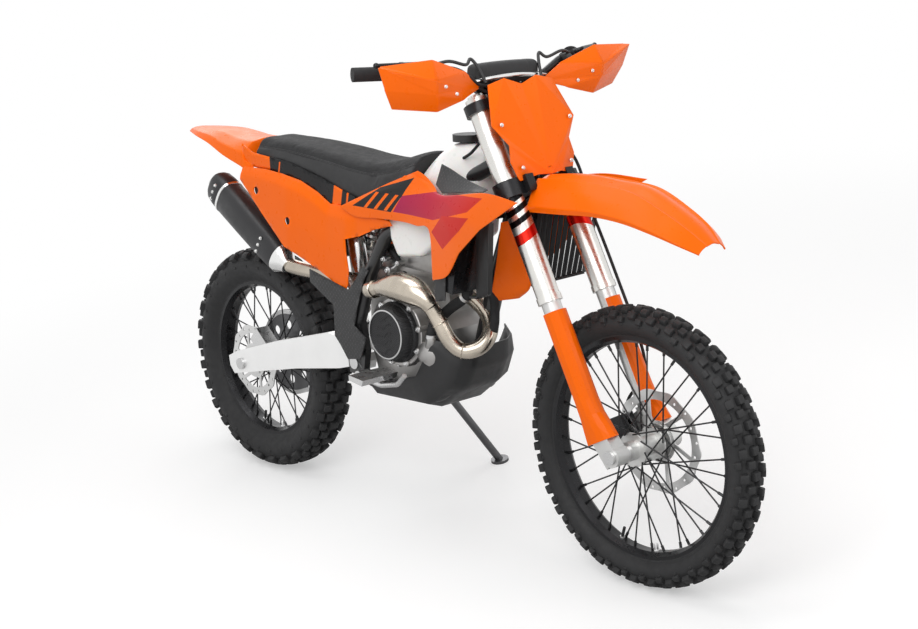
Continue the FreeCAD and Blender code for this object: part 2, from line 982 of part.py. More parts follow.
def turned_spot(radius, degrees):
    """A place at a radius from the y axis."""
    return FreeCAD.Rotation(Vector(0, 1, 0), degrees).multVec(Vector(radius, 0, 0))


DISC_ARMS = 6
DISC_WAVES = 10


def brake_disc(name, end, centre, place):
    """A waved brake disc: the drilled band, its arms and the ring bolted to the hub."""
    outer, inner = size(end + "_disc_radius"), size(end + "_disc_inner")
    thick = size("disc_thick")
    axis = Vector(0, 1, 0)
    band = wave_plate(outer, size("wave_depth"), DISC_WAVES, thick)
    band = band.cut(Part.makeCylinder(inner, 2 * thick, Vector(0, -thick, 0), axis))
    bore = size("hub_radius") + size("seat_gap")
    seat = ring(Vector(0, 0, 0), axis, size("disc_seat"), bore, thick)
    arms, holes, bolts = [], [], []
    outward = axis * (1 if place > 0 else -1)
    for k in range(DISC_ARMS):
        turn = 360.0 * k / DISC_ARMS
        a = turned_spot(size("disc_seat") - thick, turn)
        b = turned_spot(inner + thick, turn + size("disc_sweep"))
        arms.append(block((a + b) / 2, b - a, axis, (b - a).Length, size("disc_arm"), thick))
        bolt = turned_spot(size("disc_bolt_place"), turn)
        bolts.append(rod(bolt, bolt + outward * (thick / 2 + size("bolt_rise")), size("bolt_radius")))
    for k in range(2 * DISC_WAVES):
        spread = (outer + inner) / 2 + (thick if k % 2 else -thick)
        at = turned_spot(spread, 360.0 * (k + 0.5) / (2 * DISC_WAVES))
        holes.append(Part.makeCylinder(size("disc_hole"), 2 * thick, at - axis * thick, axis))
    shape = band.fuse(arms + [seat]).cut(holes).fuse(bolts)
    shape.translate(centre + axis * place)
    return keep(name, shape)


def wave_plate(radius, depth, waves, thick):
    """A round plate with a waved edge."""
    points = []
    for k in range(waves * 2):
        r = radius if k % 2 == 0 else radius - depth
        angle = math.pi * k / waves
        points.append(Vector(r * math.cos(angle), -thick / 2, r * math.sin(angle)))
    curve = Part.BSplineCurve()
    curve.interpolate(Points=points, PeriodicFlag=True)
    return Part.Face(Part.Wire(curve.toShape())).extrude(Vector(0, thick, 0))


# Along one tooth: share of its pitch, and how far it stands out of the pitch line.
TOOTH_SHARES = ((0.0, -1.0), (0.28, -0.5), (0.42, 0.9), (0.58, 0.9), (0.72, -0.5))
SPROCKET_WINDOWS = 8
WINDOW_SHARE = 0.68


def sprocket(centre, pitch, teeth, bore):
    """A chain wheel with cut teeth, on the chain's line."""
    points = []
    for k in range(teeth):
        for share, lift in TOOTH_SHARES:
            angle = 2 * math.pi * (k + share) / teeth
            r = pitch + size("tooth") * lift
            points.append(Vector(r * math.cos(angle), 0, r * math.sin(angle)))
    thick = size("sprocket_thick")
    wheel = polygon(points).extrude(Vector(0, thick, 0))
    wheel = wheel.cut(rod(Vector(0, -thick, 0), Vector(0, 2 * thick, 0), bore)) if bore else wheel
    wheel.translate(centre + Vector(0, size("chain_line") - thick / 2, 0))
    return wheel


def rear_sprocket():
    wheel = sprocket(REAR_AXLE, size("rear_pitch_radius"), 50, size("hub_radius") + size("seat_gap"))
    windows = []
    for k in range(SPROCKET_WINDOWS):
        at = REAR_AXLE + turned_spot(size("rear_pitch_radius") * WINDOW_SHARE,
                                     360.0 * k / SPROCKET_WINDOWS)
        windows.append(across(at, size("arm_inner"), size("window_radius"), 0))
    keep("rear_sprocket", wheel.cut(windows))


def wheels():
    carriers = {"front": ["front_disc_place - 0.5*disc_thick - seat_gap - 0.5*carrier_thick"],
                "rear": ["0.5*disc_thick + seat_gap + 0.5*carrier_thick - rear_disc_place",
                         "chain_line - 0.5*sprocket_thick - seat_gap - 0.5*carrier_thick"]}
    for end, centre in (("front", FRONT_AXLE), ("rear", REAR_AXLE)):
        tyre(end + "_tyre", end, centre)
        rim(end + "_rim", end, centre)
        hub(end + "_hub", end, centre, carriers[end])
        spokes(end + "_spokes", end, centre)
    brake_disc("front_disc", "front", FRONT_AXLE, size("front_disc_place"))
    brake_disc("rear_disc", "rear", REAR_AXLE, -size("rear_disc_place"))
    rear_sprocket()


# Chain

FRONT_TEETH = 14


def chain():
    """Two rows of side plates round both sprockets, joined by bushes on the straight runs."""
    rear = REAR_AXLE
    front = Vector(size("front_sprocket_x"), 0, size("front_sprocket_z"))
    big, small = size("rear_pitch_radius"), size("front_pitch_radius")
    between = front - rear
    base = math.atan2(between.z, between.x)
    spread = math.acos((big - small) / between.Length)
    half = size("chain_height") / 2
    rows = []
    for offset in (half, -half):
        rows.append(belt(rear, front, big + offset, small + offset, base, spread))
    loop = rows[0].cut(rows[1])
    inside, plate = size("chain_inside") / 2, size("chain_plate")
    pieces = []
    for low in (inside, -inside - plate):
        band = loop.extrude(Vector(0, plate, 0))
        band.translate(Vector(0, size("chain_line") + low, 0))
        pieces.append(band)
    bushes = []
    for sign in (1, -1):
        angle = base + sign * spread
        out = Vector(math.cos(angle), 0, math.sin(angle))
        first, last = rear + out * big, front + out * small
        run = last - first
        count = int((run.Length - 2 * size("bush_margin")) / size("chain_pitch"))
        for k in range(count + 1):
            at = first + run * ((size("bush_margin") + k * size("chain_pitch")) / run.Length)
            at.y = size("chain_line")
            bushes.append(block(at, run, Vector(0, 1, 0), size("bush"), size("bush"),
                                size("chain_inside") + plate))
    keep("chain", pieces[0].fuse([pieces[1]] + bushes))
    wheel = sprocket(front, small, FRONT_TEETH, 0)
    shaft = across(front, size("chain_line") + size("sprocket_nut"), size("shaft_radius"),
                   size("case_left") + size("seat_gap"))
    keep("front_sprocket", wheel.fuse(shaft))


def belt(rear, front, big, small, base, spread):
    """The flat face inside a belt line round two wheels, its arcs cut into short chords."""
    points = []
    for centre, radius, first, last, steps in (
            (rear, big, base + spread, base + 2 * math.pi - spread, BELT_STEPS["rear"]),
            (front, small, base - spread, base + spread, BELT_STEPS["front"])):
        for k in range(steps + 1):
            angle = first + (last - first) * k / steps
            points.append(centre + Vector(math.cos(angle), 0, math.sin(angle)) * radius)
    return polygon(points)


BELT_STEPS = {"rear": 24, "front": 10}


# Steering

BRIDGE_SHARE = 0.8


def clamp(place, thick):
    """A triple clamp: two rings round the fork tubes and a bridge to the stem."""
    bore = size("outer_tube_radius") + size("seat_gap")
    outer = size("outer_tube_radius") + size("clamp_wall")
    low = place - thick / 2
    pieces, bores = [], []
    for _, sign in SIDES:
        at = steer(size("fork_offset"), sign * size("fork_spread"), low)
        pieces.append(Part.makeCylinder(outer, thick, at, STEER_UP))
        bores.append(Part.makeCylinder(bore, 3 * thick, at - STEER_UP * thick, STEER_UP))
        ear = steer(size("ear_out"), sign * (size("fork_spread") - size("ear_in")), place)
        pieces.append(block(ear, STEER_OUT, STEER_UP, size("ear_length"), size("ear_wide"), thick))
    bridge = block(steer(size("bridge_out"), 0, place), STEER_OUT, STEER_UP,
                   size("bridge_depth"), 2 * size("fork_spread"), thick * BRIDGE_SHARE)
    return pieces[0].fuse(pieces[1:] + [bridge]).cut(bores)


def steering():
    """Both clamps, the stem in the head tube and the two fork legs."""
    lower = clamp(size("lower_clamp_place"), size("lower_clamp_thick"))
    head_low = size("lower_clamp_place") + size("lower_clamp_thick") / 2
    head_top = size("upper_clamp_place") - size("upper_clamp_thick") / 2
    boss = rod(steer(0, 0, head_low - size("lower_clamp_thick")), steer(0, 0, head_low),
               size("head_radius"))
    stem = rod(steer(0, 0, head_low - size("clamp_wall")), steer(0, 0, head_top), size("stem_radius"))
    collar = size("head_bore") - size("running_gap")
    gap = size("bearing_thick")
    lower_ring = rod(steer(0, 0, head_low), steer(0, 0, head_low + gap), collar)
    upper_ring = rod(steer(0, 0, head_top - gap), steer(0, 0, head_top - size("seat_gap")), collar)
    keep("lower_clamp", lower.fuse([boss, stem, lower_ring, upper_ring]))
    nut_low = size("upper_clamp_place") + size("upper_clamp_thick") * BRIDGE_SHARE / 2
    nut = rod(steer(0, 0, nut_low), steer(0, 0, nut_low + size("cap_rise")), size("stem_nut"))
    keep("upper_clamp", clamp(size("upper_clamp_place"), size("upper_clamp_thick")).fuse(nut))
    fork_legs()


def fork_legs():
    """Outer tubes with their caps above, and sliders with the axle lugs below."""
    spread, out = size("fork_spread"), size("fork_offset")
    tubes, sliders = [], []
    for _, sign in SIDES:
        foot = steer(out, sign * spread, size("outer_tube_foot"))
        cap = steer(out, sign * spread, size("outer_tube_top"))
        outer = rod(foot, cap, size("outer_tube_radius"))
        seal = rod(foot, foot + STEER_UP * size("seal_rise"), size("seal_radius"))
        bore = rod(foot - STEER_UP * size("seat_gap"), foot + STEER_UP * size("slider_overlap"),
                   size("slider_radius") + size("running_gap"))
        nut = Part.makeCylinder(size("cap_radius"), size("cap_rise"), cap, STEER_UP)
        tubes.append(outer.fuse([seal, nut]).cut(bore))
        low = steer(out, sign * spread, size("slider_foot"))
        high = foot + STEER_UP * (size("slider_overlap") - size("seat_gap"))
        sliders.append(rod(low, high, size("slider_radius")).fuse(fork_lug(sign)))
    keep("fork_tubes", Part.makeCompound(tubes))
    keep("fork_sliders", Part.makeCompound(sliders))


def fork_plate(sign, corners, low, high):
    """A plate between two places across, its corners given as out and up the fork."""
    flat = [steer(out, sign * low, up) for out, up in corners]
    return polygon(flat).extrude(Vector(0, sign * (high - low), 0))


def fork_lug(sign):
    """The foot of a fork leg, bored for the axle; the left one also carries the caliper."""
    spread, out = size("fork_spread"), size("fork_offset")
    low, high = spread - size("lug_thick") / 2, spread + size("lug_thick") / 2
    eye = across(FRONT_AXLE + Vector(0, sign * spread, 0), size("lug_thick") / 2, size("lug_radius"))
    top, wide = size("lug_top"), size("slider_radius") - size("seat_gap")
    axle, reach = size("axis_offset"), size("lug_radius") * LUG_SHARE
    neck = fork_plate(sign, ((out - wide, top), (out + wide, top), (axle + reach, 0),
                             (axle - reach, -reach)), low, high)
    pieces = [eye, neck]
    if sign > 0:
        start = size("front_disc_place") + size("caliper_outer") + size("seat_gap")
        back, rise = size("bracket_back"), size("bracket_rise")
        pieces.append(fork_plate(sign, ((out, top), (-back, top - rise), (-back, rise), (axle, 0)),
                                 start, start + size("bracket_thick")))
    bore = across(FRONT_AXLE + Vector(0, sign * spread, 0), size("lug_thick"),
                  size("axle_radius") + size("running_gap"))
    return pieces[0].fuse(pieces[1:]).cut(bore)


LUG_SHARE = 0.94


def fork_guards():
    """Bent guards over the front and the outer side of both sliders."""
    pieces = []
    spread, out = size("fork_spread"), size("fork_offset")
    inner = size("slider_radius") + size("guard_gap")
    guard_length = size("outer_tube_foot") - size("guard_foot") - size("guard_top_gap")
    for _, sign in SIDES:
        rows = []
        for up, ahead, beside in GUARD_SHARES:
            row = []
            for turn in GUARD_TURNS:
                angle = math.radians(turn)
                row.append(steer(out + inner * ahead * math.cos(angle),
                                 sign * (spread + inner * beside * math.sin(angle)),
                                 size("guard_foot") + guard_length * up))
            rows.append(row)
        centre = steer(out, sign * spread, 0)

        def outward(here):
            flat = here - centre
            return flat - STEER_UP * flat.dot(STEER_UP)
        pieces.append(skin(rows, size("skin_thick"), outward).cut(nodes["fork_sliders"].Shape))
    return keep("fork_guards", Part.makeCompound(pieces))


# Along a guard: share of its length, and its reach ahead of and beside the slider.
GUARD_SHARES = ((0.0, 1.95, 0.98), (0.1, 1.62, 0.98), (0.2, 1.18, 1.0), (0.32, 1.02, 1.02),
                (1.0, 1.02, 1.02))
GUARD_TURNS = (-60, -38, -16, 6, 28, 50, 72, 94, 112)


def front_end():
    """Axle, caliper, bars, guards, plate and fender on the steering."""
    spread = size("fork_spread")
    half = spread + size("lug_thick") / 2
    inner = spread - size("lug_thick") / 2
    axle = across(FRONT_AXLE, half + size("axle_head"), size("axle_radius"), -half)
    head = across(FRONT_AXLE, -half - size("seat_gap"), size("axle_head_radius"),
                  -half - size("axle_head"))
    nut = across(FRONT_AXLE, half + size("axle_head"), size("axle_head_radius"),
                 half + size("seat_gap"))
    link = across(FRONT_AXLE, -half, size("axle_radius"), -half - size("seat_gap"))
    spacers = []
    bore = size("hub_spacer_radius")
    hub_end = size("front_hub_half") + size("seat_gap")
    for sign in (1, -1):
        low, high = sorted((sign * hub_end, sign * (inner - size("seat_gap"))))
        spacers.append(across(FRONT_AXLE, high, bore, low))
    keep("front_axle", axle.fuse([head, nut, link] + spacers))
    caliper("front_caliper", front_caliper_place(), size("front_disc_place"), STEER_UP,
            size("caliper_outer"))
    bars()
    fork_guards()
    hand_guards()
    number_plate()
    front_fender()
    front_hose()


def front_caliper_place():
    reach = size("front_disc_radius") - size("caliper_bite")
    return FRONT_AXLE - STEER_OUT * reach * CALIPER_SHARES[0] + STEER_UP * reach * CALIPER_SHARES[1]


CALIPER_SHARES = (0.86, 0.5)


def caliper(name, centre, place, along, outer):
    """A brake caliper: two blocks and a bridge round the edge of its disc."""
    sign = 1 if place > 0 else -1
    slot = size("disc_thick") / 2 + size("clear_gap")
    at = Vector(centre.x, 0, centre.z)
    body = block(at + Vector(0, place + sign * (outer - size("caliper_inner")) / 2, 0), along,
                 Vector(0, 1, 0), size("caliper_length"), size("caliper_height"),
                 outer + size("caliper_inner"))
    axle = FRONT_AXLE if place > 0 else REAR_AXLE
    reach = size("front_disc_radius") if place > 0 else size("rear_disc_radius")
    gap = across(axle + Vector(0, place, 0), slot, reach + size("clear_gap"))
    return keep(name, body.cut(gap))


def bars():
    """The handlebar with its crossbar, pad, grips and levers."""
    main = spots("bar", BAR_SHARES)
    mirror = [Vector(p.x, -p.y, p.z) for p in main]
    path = main + mirror[::-1]
    bar = tube(path, size("bar_tube"), size("bar_bend"))
    cross = spots("crossbar", CROSSBAR_SHARES)
    cross = rod(cross[0], Vector(cross[0].x, -cross[0].y, cross[0].z), size("crossbar_radius"))
    keep("handlebar", bar.fuse(cross))
    clamp_at = Vector(path[3].x, 0, path[3].z)
    pad = spots("bar_pad", BAR_PAD_SHARES)
    outline = [Vector(p.x, 0, p.z) for p in pad]
    body = side_plate(outline, -size("bar_pad_reach"), size("bar_pad_reach"))
    keep("bar_pad", body.cut([bar, cross]))
    grips, ends = [], []
    for _, sign in SIDES:
        side = path[:2] if sign > 0 else [path[-1], path[-2]]
        way = (side[1] - side[0]).normalize()
        start = side[0] - way * size("seat_gap")
        grip = rod(start, start + way * size("grip_length"), size("grip_radius"))
        flange_at = start + way * size("grip_length")
        flange = rod(flange_at - way * size("axle_head"), flange_at, size("grip_flange"))
        grips.append(grip.fuse(flange).cut(bar))
    keep("grips", Part.makeCompound(grips))
    levers(path, bar)
    risers = []
    for _, sign in SIDES:
        low = steer(size("riser_out"), sign * size("riser_place"),
                    size("upper_clamp_place") + size("upper_clamp_thick") * BRIDGE_SHARE / 2)
        high = Vector(clamp_at.x, sign * size("riser_place"), clamp_at.z)
        risers.append(rod(low, high, size("riser_radius")))
        risers.append(across(high, size("riser_half"), size("bar_tube") + size("clamp_wall")))
    stack = risers[0].fuse(risers[1:]).cut(bar)
    top = nodes["upper_clamp"]
    top.Shape = top.Shape.fuse(stack.Solids)
    pad = nodes["bar_pad"]
    pad.Shape = pad.Shape.cut(top.Shape)


def levers(path, bar):
    """Lever perches with master cylinders, and the two levers."""
    pieces = []
    for _, sign in SIDES:
        side = path[:2] if sign > 0 else [path[-1], path[-2]]
        way = (side[1] - side[0]).normalize()
        at = side[0] + way * (size("grip_length") + size("perch_gap"))
        ring_piece = rod(at, at + way * size("perch_length"), size("perch_radius"))
        ahead = STEER_OUT * size("lever_out")
        body = block(at + way * size("perch_length") / 2 + ahead * PERCH_SHARE, way, STEER_UP,
                     size("perch_length"), size("lever_out"), size("perch_height"))
        pivot = at + way * size("perch_length") / 2 + ahead
        tip = side[0] + way * size("lever_tip_in") + STEER_OUT * size("lever_tip_out")
        lever = tube([pivot - way * size("perch_length") * PERCH_SHARE, pivot - way
                      * size("lever_step") + ahead * PERCH_SHARE, tip],
                     size("lever_radius"), size("bar_bend"))
        knob = Part.makeSphere(size("lever_radius") * LEVER_BALL_SHARE, tip)
        pieces.append(ring_piece.fuse([body, lever, knob]).cut(bar))
    keep("levers", Part.makeCompound(pieces))


PERCH_SHARE = 0.5
LEVER_BALL_SHARE = 1.4

BAR_SHARES = (
    (0, 1, 1), (0.7885, 0.5274, 0.9242), (1, 0.3184, 0.4697), (0.75, 0.1642, 0),
)
CROSSBAR_SHARES = (
    (0, 1, 0), (1, 0, 1),
)
BAR_PAD_SHARES = (
    (0.0833, 1, 0.1071), (0.4583, 1, 0), (0.9583, 1, 0.25), (1, 1, 0.6786), (0.6667, 1, 1),
    (0.2083, 1, 0.9643), (0, 1, 0.5714),
)
HAND_GUARD_SHARES = (
    ((0.2029, 0.3676, 0.2459), (0, 0.4902, 0.082), (0.4203, 0.7353, 0), (0.2754, 0.9804, 0.123)),
    ((0.7101, 0.3922, 0.4508), (0.7826, 0.4902, 0.4098), (1, 0.7353, 0.5082), (0.4493, 1, 0.5328)),
    ((0.5942, 0.4289, 0.7213), (0.6812, 0.5392, 0.8852), (0.7971, 0.7353, 1),
     (0.058, 0.9926, 0.918)),
)
NUMBER_PLATE_SHARES = (
    ((0, 0.8261, 1), (0.2143, 0.4348, 0.9952), (0.3571, 0, 0.9808)),
    ((0.2054, 1, 0.7404), (0.375, 0.5043, 0.7452), (0.5, 0, 0.7548)),
    ((0.375, 0.9913, 0.5), (0.5179, 0.5217, 0.5096), (0.6339, 0, 0.524)),
    ((0.6964, 0.8174, 0.1875), (0.7679, 0.4696, 0.2019), (0.8304, 0, 0.2115)),
    ((0.8571, 0.7826, 0), (0.9732, 0.4348, 0), (1, 0, 0.0048)),
)
FRONT_FENDER_SHARES = (
    ((0.0102, 0.913, 0.4467), (0.0061, 0.6522, 0.7133), (0.002, 0.3261, 0.9067), (0, 0, 0.9533)),
    ((0.2175, 0.9783, 0.4467), (0.2175, 0.7391, 0.7133), (0.2175, 0.3913, 0.94), (0.2175, 0, 1)),
    ((0.4268, 1, 0.48), (0.4268, 0.7609, 0.6933), (0.4268, 0.413, 0.8933), (0.4268, 0, 0.9533)),
    ((0.5996, 0.9783, 0.4333), (0.5996, 0.7391, 0.64), (0.5996, 0.413, 0.8267), (0.5996, 0, 0.9)),
    ((0.7724, 0.913, 0.2933), (0.7724, 0.6957, 0.4667), (0.7724, 0.3913, 0.6), (0.7724, 0, 0.66)),
    ((0.9146, 0.7609, 0.1333), (0.9146, 0.587, 0.2533), (0.9146, 0.3261, 0.34), (0.9146, 0, 0.3867)),
    ((0.9898, 0.5, 0), (0.9939, 0.3696, 0.08), (0.998, 0.1957, 0.1333), (1, 0, 0.16)),
)


def rows_of(piece, table, side=1):
    return [spots(piece, row, side) for row in table]


def whole_rows(piece, table):
    """Rows from the right edge over the middle to the left edge, from a half table."""
    rows = []
    for row in table:
        left = spots(piece, row)
        right = [Vector(p.x, -p.y, p.z) for p in reversed(left[:-1])]
        rows.append(left + right)
    return rows


def hand_guards():
    """Curved shields in front of both grips."""
    shield = skin(rows_of("hand_guard", HAND_GUARD_SHARES), size("skin_thick"),
                  lambda here: Vector(-1, 0, 0))
    arm = spots("guard_arm", GUARD_ARM_SHARES)
    bracket = tube(arm, size("lever_radius"), size("bar_bend"))
    outer, inner = spots("bar", BAR_SHARES)[1:3]
    way = (inner - outer).normalize()
    on_bar = outer + way * ((outer.y - arm[0].y) / -way.y)
    grip_bore = size("bar_tube") + size("seat_gap")
    strap = ring(on_bar, way, grip_bore + size("strap_thick"), grip_bore, size("strap_wide"))
    stub = rod(on_bar + STEER_OUT * (grip_bore + size("strap_thick") / 2), arm[1], size("lever_radius"))
    guard = shield.fuse([bracket.cut(bar_core(on_bar, way)), strap, stub])
    keep("hand_guards", both(guard.cut(nodes["handlebar"].Shape)))


def bar_core(at, way):
    """The room of the handlebar beside a place on it."""
    reach = size("strap_wide")
    return rod(at - way * reach, at + way * reach, size("bar_tube") + size("seat_gap"))


GUARD_ARM_SHARES = (
    (0, 0.9341, 1), (0.4151, 0.9451, 0.4), (1, 1, 0),
)


def number_plate():
    """The bent plate, strapped to both fork tubes with a peg through each side."""
    rows = whole_rows("number_plate", NUMBER_PLATE_SHARES)
    sheet_piece = skin(rows, size("skin_thick"), lambda here: Vector(-1, 0, 0))
    straps = []
    for _, sign in SIDES:
        bore = size("outer_tube_radius") + size("seat_gap")
        at = steer(size("fork_offset"), sign * size("fork_spread"),
                   size("lower_clamp_place") + size("plate_strap_rise"))
        straps.append(ring(at, STEER_UP, bore + size("strap_thick"), bore, size("strap_wide")))
        start = at + STEER_OUT * (bore + size("strap_thick") / 2)
        straps.append(post(start, STEER_OUT, size("plate_peg_radius"), sheet_piece))
    keep("number_plate", sheet_piece.fuse(straps))


def front_fender():
    """The front fender, with its tongue seated under the lower clamp."""
    rows = whole_rows("front_fender", FRONT_FENDER_SHARES)
    sheet_piece = skin(rows, size("skin_thick"), lambda here: Vector(0, 0, -1))
    clamp_low = size("lower_clamp_place") - size("lower_clamp_thick") / 2
    thick = size("tongue_thick")
    tongue = block(steer(size("tongue_out"), 0, clamp_low - size("seat_gap") - thick / 2), STEER_OUT,
                   STEER_UP, size("tongue_length"), size("tongue_wide"), thick)
    keep("front_fender", sheet_piece.fuse(tongue))


def front_hose():
    """The brake hose, clipped to the left fork leg all the way down to the caliper."""
    points = spots("front_hose", FRONT_HOSE_SHARES)
    keep("front_brake_hose", tube(points, size("hose_radius"), size("hose_bend")))


FRONT_HOSE_SHARES = (
    (0, -1, 0.9958), (0.0526, -0.8602, 1), (0.109, -0.7279, 0.9919), (0.1328, -0.6038, 0.9676),
    (0.112, -0.4632, 0.9409), (0.1357, -0.3309, 0.9374), (0.1951, -0.2233, 0.9305),
    (0.2367, -0.1406, 0.9003), (0.2367, -0.0496, 0.8586), (0.2486, 0.0579, 0.8216),
    (0.302, 0.2895, 0.781), (0.3614, 0.4963, 0.73), (0.3941, 0.5666, 0.679),
    (0.5159, 0.488, 0.591), (0.6377, 0.55, 0.467), (0.7832, 0.5459, 0.3534),
    (0.9257, 0.55, 0.2387), (1, 0.5666, 0.1495), (0.9911, 0.5542, 0.0823),
    (0.9198, 0.4467, 0.0498), (0.9406, 0.3143, 0),
)


# frame

SPAR_SHARES = (
    (1, 0.0893, 1), (0.9108, 0.3036, 0.9667), (0.7435, 0.5536, 0.8833), (0.5204, 0.7679, 0.775),
    (0.2416, 0.875, 0.625), (0.1338, 0.9821, 0.45), (0.0223, 1, 0.2083), (0, 1, 0),
)
DOWNTUBE_SHARES = (
    (1, 0, 1), (0.8111, 0, 0.8368), (0.4111, 0, 0.4603), (0, 0, 0),
)
CRADLE_SHARES = (
    (1, 0, 1), (0.9388, 0.5536, 0.3243), (0.7926, 0.8214, 0.0405), (0.367, 0.9286, 0),
    (0.1011, 0.9643, 0.0946), (0, 1, 0.3919),
)
SUBRAIL_SHARES = (
    (1, 1, 0), (0.8131, 0.913, 0.4818), (0.4152, 0.8261, 0.8182), (0, 0.7174, 1),
)
SUBSTRUT_SHARES = (
    (1, 1, 0), (0.6959, 0.8571, 0.3492), (0.2577, 0.6607, 0.8254), (0, 0.625, 1),
)
PIVOT_PLATE_SHARES = (
    (0, 0.0471), (0.7838, 0), (1, 0.4588), (0.7838, 0.9882), (0.2703, 1), (0.0541, 0.5176),
)


def frame():
    """The main frame: head tube, spars, downtube, cradle, pivot plates and stand tab."""
    head_low = size("lower_clamp_place") + size("lower_clamp_thick") / 2 + size("seat_gap")
    head_top = size("upper_clamp_place") - size("upper_clamp_thick") / 2 - size("head_gap")
    head = rod(steer(0, 0, head_low), steer(0, 0, head_top), size("head_radius"))
    bore = rod(steer(0, 0, head_low - size("clear_gap")), steer(0, 0, head_top + size("clear_gap")),
               size("head_bore"))
    pieces = [head]
    down = spots("downtube", DOWNTUBE_SHARES)
    pieces.append(tube(down, size("downtube_radius"), size("frame_bend")))
    for _, sign in SIDES:
        pieces.append(tube(spots("spar", SPAR_SHARES, sign), size("spar_radius"), size("frame_bend")))
        pieces.append(tube(spots("cradle", CRADLE_SHARES, sign), size("cradle_radius"),
                           size("frame_bend")))
        low, high = sorted((sign * (size("plate_place") - size("plate_thick")),
                            sign * (size("plate_place") + size("plate_thick"))))
        pieces.append(side_plate(side_spots("pivot_plate", PIVOT_PLATE_SHARES), low, high))
    pieces.append(stand_tab())
    shape = pieces[0].fuse(pieces[1:])
    pivot = Vector(size("pivot_x"), 0, size("pivot_z"))
    face = size("plate_place") + size("plate_thick")
    bolt = across(pivot, 2 * face, size("pivot_radius") + size("running_gap"))
    heads = [across(pivot, 2 * face, size("pivot_head") + size("seat_gap"), face),
             across(pivot, -face, size("pivot_head") + size("seat_gap"), -2 * face)]
    below = rod(steer(0, 0, head_low - 2 * size("head_radius")), steer(0, 0, head_low),
                2 * size("head_radius"))
    above = rod(steer(0, 0, head_top), steer(0, 0, head_top + 2 * size("head_radius")),
                2 * size("head_radius"))
    keep("frame", shape.cut([bore, bolt, below, above] + heads + [stand_room()]))


def subframe():
    pieces = []
    for _, sign in SIDES:
        rail = tube(spots("subrail", SUBRAIL_SHARES, sign), size("subframe_radius"), size("frame_bend"))
        strut = tube(spots("substrut", SUBSTRUT_SHARES, sign), size("subframe_radius"),
                     size("frame_bend"))
        pieces += [rail, strut]
    places = spots("subrail", SUBRAIL_SHARES)
    for at in (places[1], places[3]):
        pieces.append(across(Vector(at.x, 0, at.z), at.y, size("subframe_radius")))
    shape = pieces[0].fuse(pieces[1:])
    keep("subframe", shape.cut(nodes["frame"].Shape))


# side stand

def stand_axes():
    """The stand's pivot, the ways of its leg down and folded, and its hinge axis."""
    pivot = Vector(size("stand_pivot_x"), size("stand_pivot_y"), size("stand_pivot_z"))
    x, y = size("stand_foot_x"), size("stand_foot_y")
    foot = Vector(x, y, floor_under(x, y))
    down = (foot - pivot).normalize()
    folded = Vector(*STAND_FOLDED_SHARES).normalize()
    return pivot, foot, down, folded, down.cross(folded).normalize()


STAND_FOLDED_SHARES = (-0.95, 0.16, 0.14)


def stand_tab():
    """The frame's boss and pin for the side stand, on the inner side of its knuckle."""
    pivot, _, _, _, axis = stand_axes()
    inward = axis * (-1 if axis.y > 0 else 1)
    reach = size("stand_knuckle_thick") / 2 + size("seat_gap")
    start = pivot + inward * reach
    boss = rod(start, start + inward * size("stand_boss"), size("stand_knuckle_radius"))
    pin = rod(start, pivot - inward * (reach + size("pin_head")), size("stand_pin_radius"))
    head = rod(pivot - inward * reach, pivot - inward * (reach + size("pin_head")),
               size("stand_pin_radius") + size("pin_head"))
    arm_radius = size("stand_knuckle_radius") * STAND_ARM_SHARE
    arm = rod(start + inward * (size("stand_boss") - arm_radius),
              Vector(pivot.x, size("cradle_reach") - size("cradle_radius"), size("stand_mount_z")),
              arm_radius)
    return boss.fuse([pin, head, arm])


def stand_room():
    """The slice that the side stand's leg sweeps, outside its knuckle."""
    pivot, foot, down, folded, axis = stand_axes()
    half = size("stand_leg_radius") + size("clear_gap")
    turn = math.degrees(down.getAngle(folded))
    corners = [pivot - axis * half]
    for share in SWEEP_SHARES:
        way = FreeCAD.Rotation(axis, turn * share).multVec(down)
        corners.append(corners[0] + way * ((foot - pivot).Length))
    inner = rod(pivot - axis * half, pivot + axis * half,
                size("stand_knuckle_radius") + size("seat_gap"))
    return polygon(corners).extrude(axis * (2 * half)).cut(inner)


# Along the stand's turn, with a little room past both ends.
SWEEP_SHARES = (-0.06, 0.2, 0.47, 0.74, 1.02)


STAND_ARM_SHARE = 0.5


def side_stand():
    pivot, foot, down, _, axis = stand_axes()
    thick = size("stand_knuckle_thick")
    knuckle = rod(pivot - axis * (thick / 2), pivot + axis * (thick / 2), size("stand_knuckle_radius"))
    up = STANCE.Rotation.inverted().multVec(Vector(0, 0, 1))
    pad = rod(foot, foot + up * size("stand_foot_thick"), size("stand_foot_radius"))
    neck_end = pivot + down * (size("stand_knuckle_radius") + size("clear_gap") + size("pin_head"))
    neck = rod(pivot, neck_end, size("stand_neck_radius"))
    leg = rod(neck_end, foot + up * size("stand_foot_thick") * STAND_ARM_SHARE,
              size("stand_leg_radius"))
    low = foot - up * size("wheelbase")
    below = Part.makeCylinder(size("wheelbase"), size("wheelbase"), low, up)
    bore = rod(pivot - axis * thick, pivot + axis * thick,
               size("stand_pin_radius") + size("running_gap"))
    keep("side_stand", leg.fuse([neck, knuckle, pad]).cut([bore, below]))


# Rear end

ARM_SHARES = (
    (0.0069, 0.1134), (0, 0.268), (0.0755, 0.3711), (0.4134, 0.6753), (0.8473, 1),
    (0.9931, 0.9485), (1, 0.567), (0.9211, 0.5052), (0.578, 0.3351), (0.0412, 0),
)
PRONG_SHARES = (
    (0, 0.0645), (0, 0.9355), (0.5797, 1), (0.9565, 0.8387), (1, 0.4839), (0.9565, 0.129),
    (0.5797, 0),
)
YOKE_SHARES = (
    (0, 0), (0, 0.8947), (1, 1), (1, 0.1579),
)


